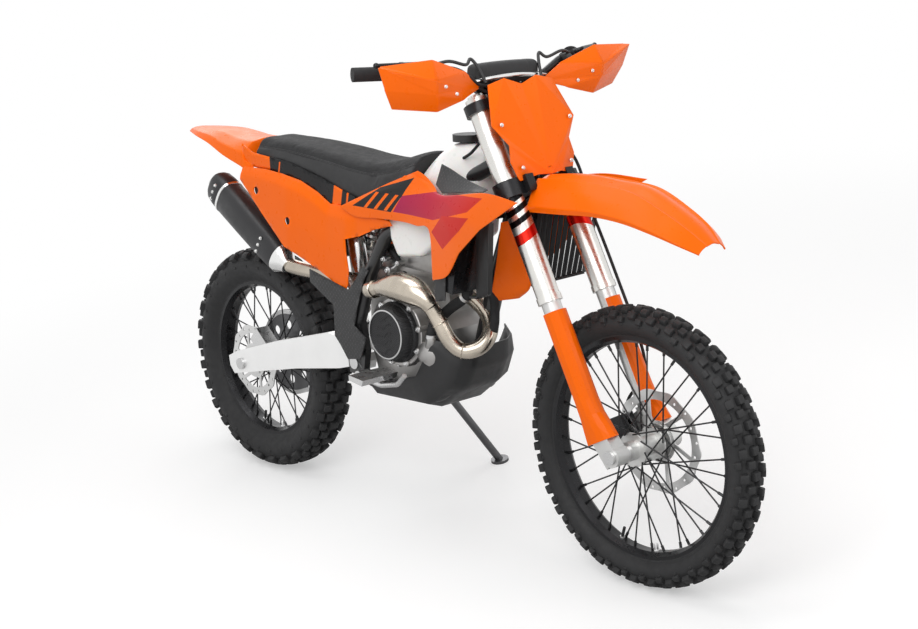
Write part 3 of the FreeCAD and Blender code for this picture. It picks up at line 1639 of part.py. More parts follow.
def swingarm():
    """Two tapering beams, the yoke between them and the prongs to the pivot."""
    inner, thick = size("arm_inner"), size("arm_thick")
    pieces = []
    for _, sign in SIDES:
        low, high = sorted((sign * inner, sign * (inner + thick)))
        beam = side_plate(side_spots("arm", ARM_SHARES), low, high)
        pieces.append(beam)
        low, high = sorted((sign * size("prong_inner"), sign * size("prong_outer")))
        pieces.append(side_plate(side_spots("prong", PRONG_SHARES), low, high))
    yoke = side_plate(side_spots("yoke", YOKE_SHARES), -inner - size("yoke_bite"),
                      inner + size("yoke_bite"))
    pieces.append(yoke)
    slots = []
    low = across(REAR_AXLE, inner + 2 * thick, size("axle_radius") + size("running_gap"))
    pivot = Vector(size("pivot_x"), 0, size("pivot_z"))
    slots = [low, across(pivot, inner + 2 * thick, size("pivot_radius") + size("running_gap"))]
    keep("swingarm", pieces[0].fuse(pieces[1:]).cut(slots))
    half = size("plate_place") + size("plate_thick") + size("seat_gap")
    bolt = across(pivot, half + size("seat_gap"), size("pivot_radius"))
    heads = [across(pivot, half + size("axle_head"), size("pivot_head"), half),
             across(pivot, -half, size("pivot_head"), -half - size("axle_head"))]
    keep("pivot_bolt", bolt.fuse(heads))
    outer = inner + thick
    axle = across(REAR_AXLE, outer + size("seat_gap"), size("axle_radius"))
    pieces = []
    for sign in (1, -1):
        low, high = sorted((sign * (outer + size("seat_gap")), sign * (outer + size("axle_head"))))
        pieces.append(across(REAR_AXLE, high, size("axle_head_radius"), low))
        hub_end = size("rear_hub_half") + size("seat_gap")
        low, high = sorted((sign * hub_end, sign * (inner - size("seat_gap"))))
        pieces.append(across(REAR_AXLE, high, size("hub_spacer_radius"), low))
    keep("rear_axle", axle.fuse(pieces))
    reach = size("rear_disc_radius") - size("caliper_bite")
    turn = math.radians(size("rear_caliper_turn"))
    at = REAR_AXLE + Vector(math.cos(turn), 0, math.sin(turn)) * reach
    caliper("rear_caliper", at, -size("rear_disc_place"), Vector(-math.sin(turn), 0, math.cos(turn)),
            inner - size("rear_disc_place") - size("seat_gap"))


def shock():
    """The damper with its spring and reservoir, between the swingarm and the frame."""
    low, high = spots("shock", SHOCK_SHARES)
    way = (high - low).normalize()
    body = rod(low, high, size("damper_radius"))
    edge = size("spring_radius") + size("spring_wire")
    first, last = low + way * size("spring_start"), high - way * size("spring_end")
    seats = [rod(first - way * size("axle_head"), first, edge),
             rod(last, last + way * size("axle_head"), edge)]
    coils = []
    for turn in range(1, SPRING_TURNS):
        at = first + (last - first) * (turn / SPRING_TURNS)
        coils.append(Part.makeTorus(size("spring_radius"), size("spring_wire"), at, way))
        coils.append(ring(at, way, size("spring_radius"), size("damper_radius"), size("spring_wire")))
    eyes = [across(low, size("damper_eye"), size("damper_radius")),
            across(high, size("damper_eye"), size("damper_radius"))]
    keep("shock", body.fuse(seats + eyes + coils))


SPRING_TURNS = 8
SHOCK_SHARES = (
    (0, -1, 0), (1, -1, 1),
)


# Engine

CASE_SHARES = (
    (0, 0.5385), (0.0708, 0.3462), (0.1357, 0.0769), (0.2183, 0), (0.8673, 0.0692), (1, 0.2308),
    (0.9853, 0.6923), (0.7788, 0.9692), (0.3953, 1), (0.1593, 0.8462),
)
CYLINDER_SHARES = (
    (0.0385, 0.0862), (0.8173, 0), (1, 0.431), (0.9663, 0.8621), (0.0962, 1), (0, 0.5172),
)
CYLINDER_TOP_SHARES = (
    (0, 0.2059), (1, 0), (0.9688, 0.6765), (0.8229, 0.8824), (0.0938, 1), (0.0104, 0.7647),
)


def engine():
    """Crankcase with its side housings, cylinder and head, both side covers, throttle body."""
    half = size("case_left")
    case = plate("case_middle", side_outline("case", CASE_SHARES), "case_left", "case_left + case_right")
    pivot_room = across(Vector(size("pivot_x"), 0, size("pivot_z")), 2 * half, size("pivot_room"))
    clutch_at = Vector(size("clutch_x"), 0, size("clutch_z"))
    spark_at = Vector(size("generator_x"), 0, size("generator_z"))
    clutch_face = -size("case_half")
    spark_face = size("generator_face")
    housings = doc.addObject("Part::MultiFuse", "case_with_housings")
    housings.Shapes = [case, side_drum("clutch_housing", clutch_at, "clutch_radius + housing_wall",
                                       clutch_face, -size("case_right") + size("housing_wall")),
                       side_drum("generator_housing", spark_at, "generator_radius + housing_wall",
                                 half - size("housing_wall"), spark_face)]
    doc.recompute()
    chain_room = Part.makeBox(size("sprocket_room"), size("chain_line"), size("sprocket_room"),
                              Vector(size("front_sprocket_x") - size("sprocket_room") / 2, half,
                                     size("front_sprocket_z") - size("sprocket_room") / 2))
    cut("crankcase", housings, [pivot_room, chain_room, nodes["frame"].Shape])
    half = size("cylinder_half")
    barrel = side_plate(side_spots("cylinder", CYLINDER_SHARES), -half, half)
    step = size("rib_step")
    outline = side_spots("cylinder_top", CYLINDER_TOP_SHARES)
    head = side_plate(outline, -half + step, half - step)
    flange = side_plate(rib_line(outline), -half - step, half + step)
    keep("cylinder_head", barrel.fuse([head, flange])
         .cut([nodes["crankcase"].Shape, nodes["frame"].Shape]))
    stepped_cover("clutch_cover", clutch_at, "clutch", clutch_face - size("seat_gap"), -1)
    stepped_cover("generator_cover", spark_at, "generator", spark_face + size("seat_gap"), 1)
    points = spots("throttle", THROTTLE_SHARES)
    keep("throttle_body", tube(points, size("throttle_radius"), size("frame_bend"))
         .cut([nodes["cylinder_head"].Shape, nodes["frame"].Shape]))


def rib_line(corners):
    """The outline of the joint between cylinder and head."""
    low = Vector(0, 0, -size("rib_step"))
    return [corners[0] + low, corners[1] + low, corners[1] - low, corners[0] - low]


def side_drum(label, centre, radius, low, high):
    """A Part cylinder across the bike, between two places."""
    drum = doc.addObject("Part::Cylinder", label)
    drum.setExpression("Radius", bound(radius))
    drum.Height = high - low
    drum.Placement = FreeCAD.Placement(centre + Vector(0, low, 0),
                                       FreeCAD.Rotation(Vector(1, 0, 0), -90))
    return drum


def stepped_cover(name, centre, piece, face, sign):
    """A round side cover with a raised middle, turned about an axis across the bike."""
    rim_r, low, high = piece + "_radius", piece + "_step", piece + "_depth"
    outline = [("0", "0"), (rim_r, "0"), (rim_r, low), (piece + "_inner + cover_slope", low),
               (piece + "_inner", high), ("0", high)]
    body = turned(name, [outline], centre + Vector(0, face, 0))
    if sign < 0:
        body.Placement = FreeCAD.Placement(centre + Vector(0, face, 0),
                                           FreeCAD.Rotation(Vector(1, 0, 0), 180))
    return body


THROTTLE_SHARES = (
    (1, 0, 0), (0.4366, 0, 0.5333), (0, 0, 1),
)
HEADER_SHARES = (
    (0, -0.0541, 1), (0.6667, -0.1486, 0.8), (1, -0.4189, 0.3368), (0.9091, -0.7973, 0),
    (0.5682, -1, 0.4211), (0.1667, -0.9865, 0.9684),
)
RESONATOR_SHARES = (
    (1, -1, 0), (0.8, -0.9795, 0.6), (0.5353, -0.9589, 0.8), (0.2529, -0.9247, 1),
    (0, -0.8767, 0.8),
)
MIDPIPE_SHARES = (
    (1, -1, 0.619), (0.875, -0.7031, 0.3095), (0.7537, -0.5469, 0.0714), (0.5299, -0.5391, 0),
    (0.3713, -0.625, 0.0476), (0.194, -0.6719, 0.1905), (0, -0.6875, 1),
)


def exhaust():
    """The header with its resonator, the middle pipe and the silencer."""
    header = tube(spots("header", HEADER_SHARES), size("header_radius"), size("header_bend"))
    places = spots("resonator", RESONATOR_SHARES)
    sections = []
    for i, (at, share) in enumerate(zip(places, RESONATOR_RADIUS_SHARES)):
        before, after = places[max(i - 1, 0)], places[min(i + 1, len(places) - 1)]
        sections.append(Part.Wire(Part.makeCircle(size("resonator_radius") * share, at,
                                                  after - before)))
    bulge = Part.makeLoft(sections, True, False)
    middle = tube(spots("midpipe", MIDPIPE_SHARES), size("midpipe_radius"), size("header_bend"))
    pipe = header.fuse([bulge, middle])
    keep("header_pipe", pipe.cut([nodes["cylinder_head"].Shape, nodes["frame"].Shape,
                                  nodes["crankcase"].Shape]))
    front, rear = spots("silencer", SILENCER_SHARES)
    way = (rear - front).normalize()
    sections = []
    for along, grow in SILENCER_BODY_SHARES:
        sections.append(can_outline(front + (rear - front) * along, way, grow))
    can = loft(sections)
    outlet = rod(rear - way * size("outlet_depth"), rear + way * size("outlet_depth"),
                 size("outlet_radius"))
    keep("silencer", can.cut([nodes["header_pipe"].Shape, outlet]))


RESONATOR_RADIUS_SHARES = (0.56, 0.8, 1.0, 0.88, 0.6)
SILENCER_SHARES = (
    (1, -1, 0), (0, -1, 1),
)
SILENCER_BODY_SHARES = ((0.0, 0.42), (0.12, 0.66), (0.2, 0.7), (0.88, 1.0), (1.0, 0.8))


def can_outline(centre, way, grow):
    """The silencer's eight-cornered section."""
    up = way.cross(Vector(0, 1, 0)).normalize()
    if up.z < 0:
        up = -up
    wide, tall = size("silencer_half") * grow, size("silencer_rise") * grow
    return [centre + Vector(0, wide * y, 0) + up * (tall * z) for y, z in CAN_SHARES]


CAN_SHARES = ((-0.6, -1.0), (0.6, -1.0), (1.0, -0.5), (1.0, 0.5), (0.6, 1.0), (-0.6, 1.0),
              (-1.0, 0.5), (-1.0, -0.5))


# Cooling and tank

RADIATOR_SHARES = (
    (0, 0.0288), (0.4359, 0), (1, 0.9423), (0.5385, 1),
)
LOUVRE_SHARES = (
    (0, 0.508, 0), (0.16, 0.5829, 0.9252), (0.7733, 0.8984, 0.1682), (1, 1, 1),
)
LOUVRE_SLATS = 10
STAY_SHARES = (
    (1, 1), (0, 0),
)


def radiators():
    """A core on each side of the frame, with a louvred guard in front."""
    low, high = size("radiator_inner"), size("radiator_outer")
    core = side_plate(side_spots("radiator", RADIATOR_SHARES), low, high)
    stays = [rod(Vector(p.x, 0, p.z), Vector(p.x, low + size("stay_radius"), p.z), size("stay_radius"))
             for p in side_spots("stay", STAY_SHARES)]
    core = core.fuse(stays).cut(nodes["frame"].Shape)
    core = max(core.Solids, key=lambda s: s.Volume)
    keep("radiators", both(core))
    foot, far_foot, top, far_top = spots("louvre", LOUVRE_SHARES)
    bars = [rod(foot, top, size("louvre_rail")), rod(far_foot, far_top, size("louvre_rail"))]
    for k in range(LOUVRE_SLATS + 1):
        share = k / LOUVRE_SLATS
        a = foot + (top - foot) * share
        b = far_foot + (far_top - far_foot) * share
        bars.append(block((a + b) / 2, b - a, Vector(0, 1, 0), (b - a).Length,
                          size("louvre_thick"), size("louvre_deep")))
    for at in (foot, far_foot):
        clip_end = at + Vector(-size("clip_length"), size("clip_length") / 2, 0)
        bars.append(rod(at, clip_end, size("louvre_rail")).cut(core))
    guard = bars[0].fuse(bars[1:])
    keep("radiator_guards", both(max(guard.Solids, key=lambda s: s.Volume)))


TANK_ROWS_SHARES = (
    ((0, 0, 0.5331), (0, 0.5085, 0.5166), (0, 0.8136, 0.4503), (0, 0.8559, 0.404),
     (0, 0.8475, 0.351), (0, 0.7119, 0.3444), (0, 0.6441, 0.351), (0, 0, 0.351)),
    ((0.1719, 0, 0.8311), (0.1719, 0.5932, 0.8079), (0.1719, 0.8983, 0.6821),
     (0.1719, 0.9915, 0.4834), (0.1719, 0.9746, 0.0265), (0.1719, 0.678, 0.0132),
     (0.1719, 0.6271, 0.1258), (0.1719, 0, 0.1258)),
    ((0.5625, 0, 0.9934), (0.5625, 0.5424, 0.9735), (0.5625, 0.8644, 0.8146), (0.5625, 1, 0.5828),
     (0.5625, 0.9915, 0.0199), (0.5625, 0.678, 0), (0.5625, 0.6271, 0.1093), (0.5625, 0, 0.1093)),
    ((0.8438, 0, 1), (0.8438, 0.4746, 0.9735), (0.8438, 0.8136, 0.798), (0.8438, 0.9153, 0.5828),
     (0.8438, 0.8136, 0.3841), (0.8438, 0.678, 0.3709), (0.8438, 0.5932, 0.3907),
     (0.8438, 0, 0.3907)),
    ((1, 0, 0.9139), (1, 0.2542, 0.8874), (1, 0.5085, 0.7649), (1, 0.5593, 0.5828),
     (1, 0.4237, 0.4503), (1, 0.339, 0.4437), (1, 0.2881, 0.4503), (1, 0, 0.4503)),
)
SEAT_ROWS_SHARES = (
    ((0, 0, 0.9286), (0, 0.2241, 0.9143), (0, 0.3793, 0.85), (0, 0.4138, 0.6714), (0, 0, 0.6571)),
    ((0.0493, 0, 0.9714), (0.0493, 0.5172, 0.9429), (0.0493, 0.7241, 0.7857),
     (0.0493, 0.7931, 0.6), (0.0493, 0, 0.5857)),
    ((0.2863, 0, 0.9143), (0.2863, 0.6034, 0.8786), (0.2863, 0.7931, 0.7429),
     (0.2863, 0.8793, 0.5), (0.2863, 0, 0.4714)),
    ((0.4986, 0, 0.8071), (0.4986, 0.6897, 0.7714), (0.4986, 0.8448, 0.6286),
     (0.4986, 0.9138, 0.2429), (0.4986, 0, 0.2286)),
    ((0.6425, 0, 0.7286), (0.6425, 0.7241, 0.6857), (0.6425, 0.8793, 0.5357),
     (0.6425, 0.9655, 0.0143), (0.6425, 0, 0)),
    ((0.7726, 0, 0.7071), (0.7726, 0.7241, 0.6571), (0.7726, 0.8793, 0.4857), (0.7726, 1, 0.0143),
     (0.7726, 0, 0)),
    ((0.8822, 0, 0.8), (0.8822, 0.6897, 0.7429), (0.8822, 0.8793, 0.5571),
     (0.8822, 0.9655, 0.1857), (0.8822, 0, 0.1786)),
    ((1, 0, 1), (1, 0.5172, 0.9429), (1, 0.7931, 0.7857), (1, 0.8966, 0.5857), (1, 0, 0.5714)),
)


def whole_sections(piece, table):
    """Closed outlines across the bike from half ones that start and end in the middle."""
    sections = []
    for row in table:
        left = spots(piece, row)
        right = [Vector(p.x, -p.y, p.z) for p in reversed(left[1:-1])]
        sections.append(left + right)
    return sections


def tank_and_seat():
    tank = loft(whole_sections("tank_rows", TANK_ROWS_SHARES))
    tank = tank.cut([nodes["frame"].Shape, nodes["radiators"].Shape])
    tank = max(tank.Solids, key=lambda s: s.Volume)
    keep("fuel_tank", tank)
    cap_at = (spots("tank_rows", TANK_ROWS_SHARES[2])[0] + spots("tank_rows", TANK_ROWS_SHARES[3])[0]) / 2
    cap = Part.makeCylinder(size("cap_wide"), size("cap_tall"), cap_at, Vector(0, 0, 1))
    keep("tank_cap", cap.cut(tank))
    seat = loft(whole_sections("seat_rows", SEAT_ROWS_SHARES))
    seat = seat.cut([nodes["fuel_tank"].Shape, nodes["frame"].Shape, nodes["subframe"].Shape])
    seat = max(seat.Solids, key=lambda s: s.Volume)
    keep("seat", seat)


AIRBOX_SHARES = (
    (0.3382, 0.11), (0.6364, 0), (0.7818, 0.06), (0.9345, 0.55), (1, 0.88), (0.0545, 1), (0, 0.85),
)


def airbox():
    box = side_plate(side_spots("airbox", AIRBOX_SHARES), -size("airbox_half"), size("airbox_half"))
    keep("airbox", box.cut([nodes["subframe"].Shape, nodes["frame"].Shape, nodes["shock"].Shape,
                            nodes["header_pipe"].Shape, nodes["silencer"].Shape,
                            nodes["throttle_body"].Shape]))


# Bodywork

REAR_FENDER_SHARES = (
    ((1, 0.9541, 0), (1, 0.8991, 0.15), (1, 0.5688, 0.19), (1, 0, 0.19)),
    ((0.9071, 1, 0.05), (0.9071, 0.9633, 0.25), (0.9071, 0.5688, 0.3), (0.9071, 0, 0.31)),
    ((0.8729, 1, 0.11), (0.8729, 0.9358, 0.49), (0.8729, 0.5688, 0.75), (0.8729, 0, 0.83)),
    ((0.6528, 0.9725, 0.37), (0.6528, 0.8991, 0.65), (0.6528, 0.5138, 0.81), (0.6528, 0, 0.85)),
    ((0.4328, 0.8624, 0.65), (0.4328, 0.7706, 0.83), (0.4328, 0.4404, 0.95), (0.4328, 0, 0.98)),
    ((0.2005, 0.6789, 0.81), (0.2005, 0.5688, 0.91), (0.2005, 0.3303, 0.98), (0.2005, 0, 1)),
    ((0, 0.367, 0.87), (0, 0.2936, 0.93), (0, 0.1651, 0.97), (0, 0, 0.98)),
)
SIDE_PANEL_SHARES = (
    ((0.0044, 0.8175, 1), (0, 0.9051, 0.8771), (0.1552, 0.9635, 0.5847), (0.3104, 1, 0.3023),
     (0.3499, 1, 0.2757), (0.5286, 0.9781, 0.1395), (0.7086, 0.9343, 0)),
    ((0.1625, 0.7883, 0.9967), (0.1772, 0.8905, 0.8439), (0.2796, 0.9635, 0.5847),
     (0.3821, 0.9927, 0.3787), (0.4407, 0.9927, 0.3123), (0.5725, 0.9781, 0.1993),
     (0.7218, 0.9343, 0.0465)),
    ((0.4041, 0.7883, 0.9269), (0.4261, 0.8759, 0.8106), (0.47, 0.9489, 0.6113),
     (0.5286, 0.9781, 0.4651), (0.5871, 0.9781, 0.3787), (0.6457, 0.9635, 0.2857),
     (0.7277, 0.9343, 0.1329)),
    ((0.5959, 0.8175, 0.7508), (0.631, 0.8613, 0.7043), (0.6603, 0.9051, 0.6312),
     (0.6896, 0.927, 0.5449), (0.7013, 0.9343, 0.4651), (0.716, 0.9343, 0.3322),
     (0.7277, 0.9197, 0.1993)),
    ((0.6794, 0.8467, 0.7475), (0.7189, 0.8759, 0.7176), (0.7775, 0.8978, 0.6877),
     (0.8653, 0.927, 0.6711), (0.9239, 0.9416, 0.6578), (0.9678, 0.9489, 0.6478),
     (1, 0.9562, 0.6379)),
)
SHROUD_SHARES = (
    ((0, 0.5531, 0.5543), (0.0868, 0.5664, 0.4729), (0.2133, 0.5841, 0.4884),
     (0.3512, 0.6195, 0.4961), (0.4432, 0.6858, 0.4884), (0.5211, 0.7434, 0.4767),
     (0.5492, 0.8053, 0)),
    ((0.0345, 0.5487, 0.5891), (0.1367, 0.5664, 0.5969), (0.2644, 0.5929, 0.6279),
     (0.3921, 0.6416, 0.6512), (0.507, 0.7168, 0.6124), (0.5773, 0.7965, 0.4341),
     (0.6309, 0.8496, 0.0775)),
    ((0.0805, 0.531, 0.6434), (0.1877, 0.5487, 0.7287), (0.3027, 0.5664, 0.8023),
     (0.4176, 0.6106, 0.8023), (0.5453, 0.7168, 0.7248), (0.6347, 0.8407, 0.5698),
     (0.705, 0.8938, 0.3295)),
    ((0.2388, 0.5133, 0.8295), (0.3282, 0.5221, 0.8992), (0.4049, 0.5398, 0.938),
     (0.4943, 0.6195, 0.8411), (0.5964, 0.7434, 0.7752), (0.7114, 0.885, 0.686),
     (0.8199, 0.9558, 0.5891)),
    ((0.3985, 0.4956, 1), (0.4432, 0.5221, 0.9612), (0.5006, 0.5752, 0.876),
     (0.5517, 0.6549, 0.8062), (0.6731, 0.7611, 0.8527), (0.8314, 0.885, 0.9225), (1, 1, 0.8915)),
)


def panels():
    """Shrouds, side panels, rear fender and frame guards, each on its mounting posts."""
    inward = (lambda here: Vector(0, -1, 0))
    radius = size("post_radius")
    across_bike = Vector(0, 1, 0)
    shroud = skin(rows_of("shroud", SHROUD_SHARES), size("thin_skin"), inward)
    corners = side_spots("radiator", RADIATOR_SHARES, size("radiator_outer") - radius)
    start = sum(corners[1:], corners[0]) / len(corners)
    shroud = shroud.fuse(post(start, across_bike, radius, shroud).cut(nodes["radiators"].Shape))
    panel = skin(rows_of("side_panel", SIDE_PANEL_SHARES), size("thin_skin"), inward)
    posts = []
    for at in spots("panel_post", PANEL_POST_SHARES):
        posts.append(post(at, across_bike, radius, panel).cut(nodes["subframe"].Shape))
    panel = panel.fuse([max(p.Solids, key=lambda s: s.Volume) for p in posts])
    for name, piece in (("shroud", shroud), ("side_panel", panel)):
        left = max(piece.Solids, key=lambda s: s.Volume)
        keep(name + "_left", left)
        keep(name + "_right", mirrored(left))
    fender = skin(whole_rows("rear_fender", REAR_FENDER_SHARES), size("skin_thick"),
                  lambda here: Vector(0, 0, -1))
    posts = []
    for _, sign in SIDES:
        at = spots("subrail", SUBRAIL_SHARES, sign)[-1] + Vector(size("fender_post_in"), 0, 0)
        posts.append(post(at, Vector(0, 0, 1), radius, fender).cut(nodes["subframe"].Shape))
    keep("rear_fender", fender.fuse([max(p.Solids, key=lambda s: s.Volume) for p in posts]))
    guard = side_plate(side_spots("frame_guard", FRAME_GUARD_SHARES),
                       size("guard_place"), size("guard_place") + size("skin_thick"))
    start = Vector(size("pivot_x"), size("plate_place") + size("plate_thick"), size("guard_post_z"))
    guard = guard.fuse(post(start, across_bike, radius, guard).cut(nodes["frame"].Shape))
    keep("frame_guards", both(max(guard.Solids, key=lambda s: s.Volume)))
    front_covers()
    skid_plate()


PANEL_POST_SHARES = (
    (0, 0.9048, 1), (1, 1, 0),
)
FRAME_GUARD_SHARES = (
    (0, 0.9587), (0.7086, 0.5587), (0.76, 0.381), (0.7, 0), (0.7771, 0.0127), (0.8571, 0.3492),
    (0.8914, 0.5714), (1, 0.8571), (0.9714, 0.8889), (0.8229, 0.6984), (0.7829, 0.6857),
    (0.0286, 1),
)
SKID_SHARES = (
    ((0, 0, 0), (0, 0.5109, 0), (0, 0.8467, 0.0435), (0, 0.9635, 0.1043), (0, 0.9927, 0.1565)),
    ((0.6442, 0, 0), (0.6442, 0.5109, 0), (0.6319, 0.8175, 0.0609), (0.6135, 0.9489, 0.2),
     (0.6012, 1, 0.4087)),
    ((0.8896, 0, 0.2609), (0.8896, 0.4015, 0.2609), (0.8589, 0.7007, 0.2957),
     (0.8098, 0.8905, 0.3913), (0.7485, 0.9927, 0.7217)),
    ((1, 0, 0.5304), (0.9877, 0.365, 0.5391), (0.9509, 0.6423, 0.5739), (0.8896, 0.8321, 0.6783),
     (0.8221, 0.9635, 0.913)),
    ((1, 0, 0.8522), (0.9816, 0.365, 0.8609), (0.9509, 0.5547, 0.8783), (0.908, 0.7153, 0.9217),
     (0.865, 0.8613, 1)),
)


TANK_GUARD_SHARES = (
    ((0, 0.6966, 0.2464), (0.1739, 0.7865, 0), (0.587, 0.9101, 0.1739), (0.9783, 1, 0.3043)),
    ((0.0217, 0.6517, 0.6522), (0.187, 0.7191, 0.4493), (0.587, 0.8427, 0.3768),
     (0.987, 0.9551, 0.3333)),
    ((0.0522, 0.6292, 1), (0.2174, 0.6517, 0.8551), (0.587, 0.7753, 0.5652), (1, 0.9213, 0.3768)),
)
FRONT_PANEL_SHARES = (
    ((0.5106, 1, 0.9541), (0.7872, 0.5769, 0.9817), (1, 0, 1)),
    ((0.2979, 1, 0.5138), (0.617, 0.5769, 0.5367), (1, 0, 0.5596)),
    ((0.1064, 1, 0.1927), (0.4468, 0.5769, 0.1743), (0.9362, 0, 0.1651)),
    ((0, 1, 0), (0.1702, 0.5769, 0.0092), (0.5319, 0, 0.0321)),
)


def front_covers():
    """The dark guards over the tank's sides, and the bent cover in front of the downtube."""
    radius = size("post_radius")
    rows = rows_of("tank_guard", TANK_GUARD_SHARES)
    guard = skin(rows, size("thin_skin"), lambda here: Vector(0, -1, 0))
    start = Vector(rows[1][1].x, size("guard_post_y"), rows[1][1].z)
    stalk = post(start, Vector(0, 1, 0), radius, guard).cut(nodes["fuel_tank"].Shape)
    keep("tank_guards", both(guard.fuse(max(stalk.Solids, key=lambda s: s.CenterOfMass.y))))
    rows = whole_rows("front_panel", FRONT_PANEL_SHARES)
    cover = skin(rows, size("thin_skin"), lambda here: Vector(-1, 0, 0))
    middle = rows[1][len(rows[1]) // 2]
    start = Vector(middle.x - size("cover_post"), 0, middle.z)
    stalk = post(start, Vector(1, 0, 0), radius, cover).cut(nodes["frame"].Shape)
    keep("front_panel", cover.fuse(max(stalk.Solids, key=lambda s: s.CenterOfMass.x)))


def skid_plate():
    rows = whole_rows("skid", [row[::-1] for row in SKID_SHARES])
    inside = Vector(size("pivot_x"), 0, size("pivot_z"))
    guard = skin(rows, size("skin_thick"), lambda here: inside - here)
    keep("skid_plate", guard.cut(nodes["frame"].Shape))


# Controls

PEG_SHARES = (
    (0, 0.3636), (0.8966, 0), (1, 0.7273), (0, 1),
)
BRAKE_PEDAL_SHARES = (
    (0, -0.7653, 0.1667), (0.375, -0.7755, 0), (0.7917, -0.9082, 0.4167), (1, -1, 1),
)
GEAR_LEVER_SHARES = (
    (0, 0.8, 0.6), (0.3478, 0.8649, 0), (1, 1, 1),
)


def foot_controls():
    """The pegs, the brake pedal on its boss and the gear lever on its shaft."""
    outline = side_spots("peg", PEG_SHARES)
    peg = side_plate(outline, size("peg_inner"), size("peg_outer"))
    radius = size("pedal_radius")
    middle = (outline[0] + outline[2]) / 2
    carrier = spots("cradle", CRADLE_SHARES)[3]
    bracket = rod(Vector(middle.x, size("peg_inner") + radius, middle.z), carrier, radius)
    peg = peg.fuse(bracket).cut(nodes["frame"].Shape)
    keep("foot_pegs", both(max(peg.Solids, key=lambda s: s.Volume)))
    right = tube(spots("brake_pedal", BRAKE_PEDAL_SHARES), size("pedal_radius"), size("frame_bend"))
    left = tube(spots("gear_lever", GEAR_LEVER_SHARES), size("pedal_radius"), size("frame_bend"))
    pedal, lever = spots("brake_pedal", BRAKE_PEDAL_SHARES)[0], spots("gear_lever", GEAR_LEVER_SHARES)[0]
    boss_end = -size("plate_place") - size("plate_thick") - size("boss_gap")
    boss = across(Vector(pedal.x, 0, pedal.z), boss_end, size("shaft_radius"), pedal.y - size("pedal_radius"))
    shaft = across(Vector(lever.x, 0, lever.z), lever.y, size("pedal_radius"),
                   size("case_left") + size("seat_gap"))
    keep("foot_controls", Part.makeCompound([right.fuse(boss).cut(nodes["frame"].Shape),
                                             left.fuse(shaft)]))


# The whole bike

def build():
    frame()
    subframe()
    swingarm()
    shock()
    wheels()
    chain()
    steering()
    front_end()
    engine()
    exhaust()
    radiators()
    tank_and_seat()
    airbox()
    panels()
    foot_controls()
    side_stand()


def centred():
    """The placement that stands the leaned bike with its box's middle on the origin."""
    box = None
    for node in nodes.values():
        bounds = node.Shape.copy()
        bounds.Placement = STANCE.multiply(bounds.Placement)
        found = bounds.optimalBoundingBox(True, False)
        if box is None:
            box = FreeCAD.BoundBox(found)
        else:
            box.add(found)
    move = Vector(-box.Center.x, -box.Center.y, -box.ZMin)
    return FreeCAD.Placement(move, FreeCAD.Rotation()).multiply(STANCE)


build()
doc.recompute()
PLACE = centred()
for node in nodes.values():
    node.Placement = PLACE.multiply(node.Placement)
doc.recompute()
os.makedirs("parts", exist_ok=True)
for item in doc.Objects:
    if "Invalid" in item.State or "Error" in item.State:
        raise RuntimeError(item.Name + " failed")
for name, node in nodes.items():
    if not node.Shape.isValid() or not node.Shape.Solids:
        raise RuntimeError(name + " is no valid solid")
    node.Shape.exportStep("parts/%s.step" % name)
    print(name, len(node.Shape.Solids), "solids", round(node.Shape.Volume), "mm3")


def report_place(label, at, way):
    """Print a place and a direction of the finished part, for its record."""
    there = PLACE.multVec(at)
    along = PLACE.Rotation.multVec(way)
    print("PLACE %s %.4f %.4f %.4f %.6f %.6f %.6f" % (label, *there, *along))


pivot, foot, down, folded, hinge = stand_axes()
ACROSS, UP = Vector(0, 1, 0), Vector(0, 0, 1)
report_place("steering", steer(0, 0, size("lower_clamp_place")), STEER_UP)
report_place("front_wheel", FRONT_AXLE, ACROSS)
report_place("rear_wheel", REAR_AXLE, ACROSS)
report_place("stand", pivot, hinge)
print("STAND_TURN %.3f" % math.degrees(down.getAngle(folded)))
low_bar, high_bar = spots("bar", BAR_SHARES)[:2]
along_bar = (low_bar - high_bar).normalize()
for label, sign in SIDES:
    middle = low_bar - along_bar * (size("grip_length") - size("grip_flange")) / 2
    report_place(label + "_grip", Vector(middle.x, sign * middle.y, middle.z),
                 Vector(along_bar.x, sign * along_bar.y, along_bar.z))
report_place("lift_pad", Vector((size("skid_rear") + size("case_rear") + size("case_length")) / 2, 0,
                                size("skid_base")), UP * -1)
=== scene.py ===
"""Enduro dirt bike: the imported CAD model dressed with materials, tyres, shells and small parts.

Most places are written in millimetres of the upright bike (x forwards from the rear axle,
y to the left, z up), and at() turns them into the leaning model's own frame.
"""
import json
import math
import bpy
import numpy as np
from mathutils import Matrix, Vector
from mathutils.geometry import delaunay_2d_cdt


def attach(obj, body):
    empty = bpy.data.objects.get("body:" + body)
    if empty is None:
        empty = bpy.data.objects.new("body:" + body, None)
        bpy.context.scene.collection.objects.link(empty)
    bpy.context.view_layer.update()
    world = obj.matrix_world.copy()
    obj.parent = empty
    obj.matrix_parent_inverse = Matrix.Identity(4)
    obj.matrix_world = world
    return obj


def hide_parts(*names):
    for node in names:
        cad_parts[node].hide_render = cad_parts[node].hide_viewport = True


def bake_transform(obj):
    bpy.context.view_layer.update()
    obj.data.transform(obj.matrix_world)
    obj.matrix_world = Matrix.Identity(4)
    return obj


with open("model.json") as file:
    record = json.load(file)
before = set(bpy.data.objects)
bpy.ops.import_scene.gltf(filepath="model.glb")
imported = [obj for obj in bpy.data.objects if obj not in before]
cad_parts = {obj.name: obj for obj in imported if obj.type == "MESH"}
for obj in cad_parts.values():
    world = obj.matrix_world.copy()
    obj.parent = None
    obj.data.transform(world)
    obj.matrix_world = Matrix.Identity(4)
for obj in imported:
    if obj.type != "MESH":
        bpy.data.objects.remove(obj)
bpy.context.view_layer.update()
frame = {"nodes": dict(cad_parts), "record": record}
MM = 0.001
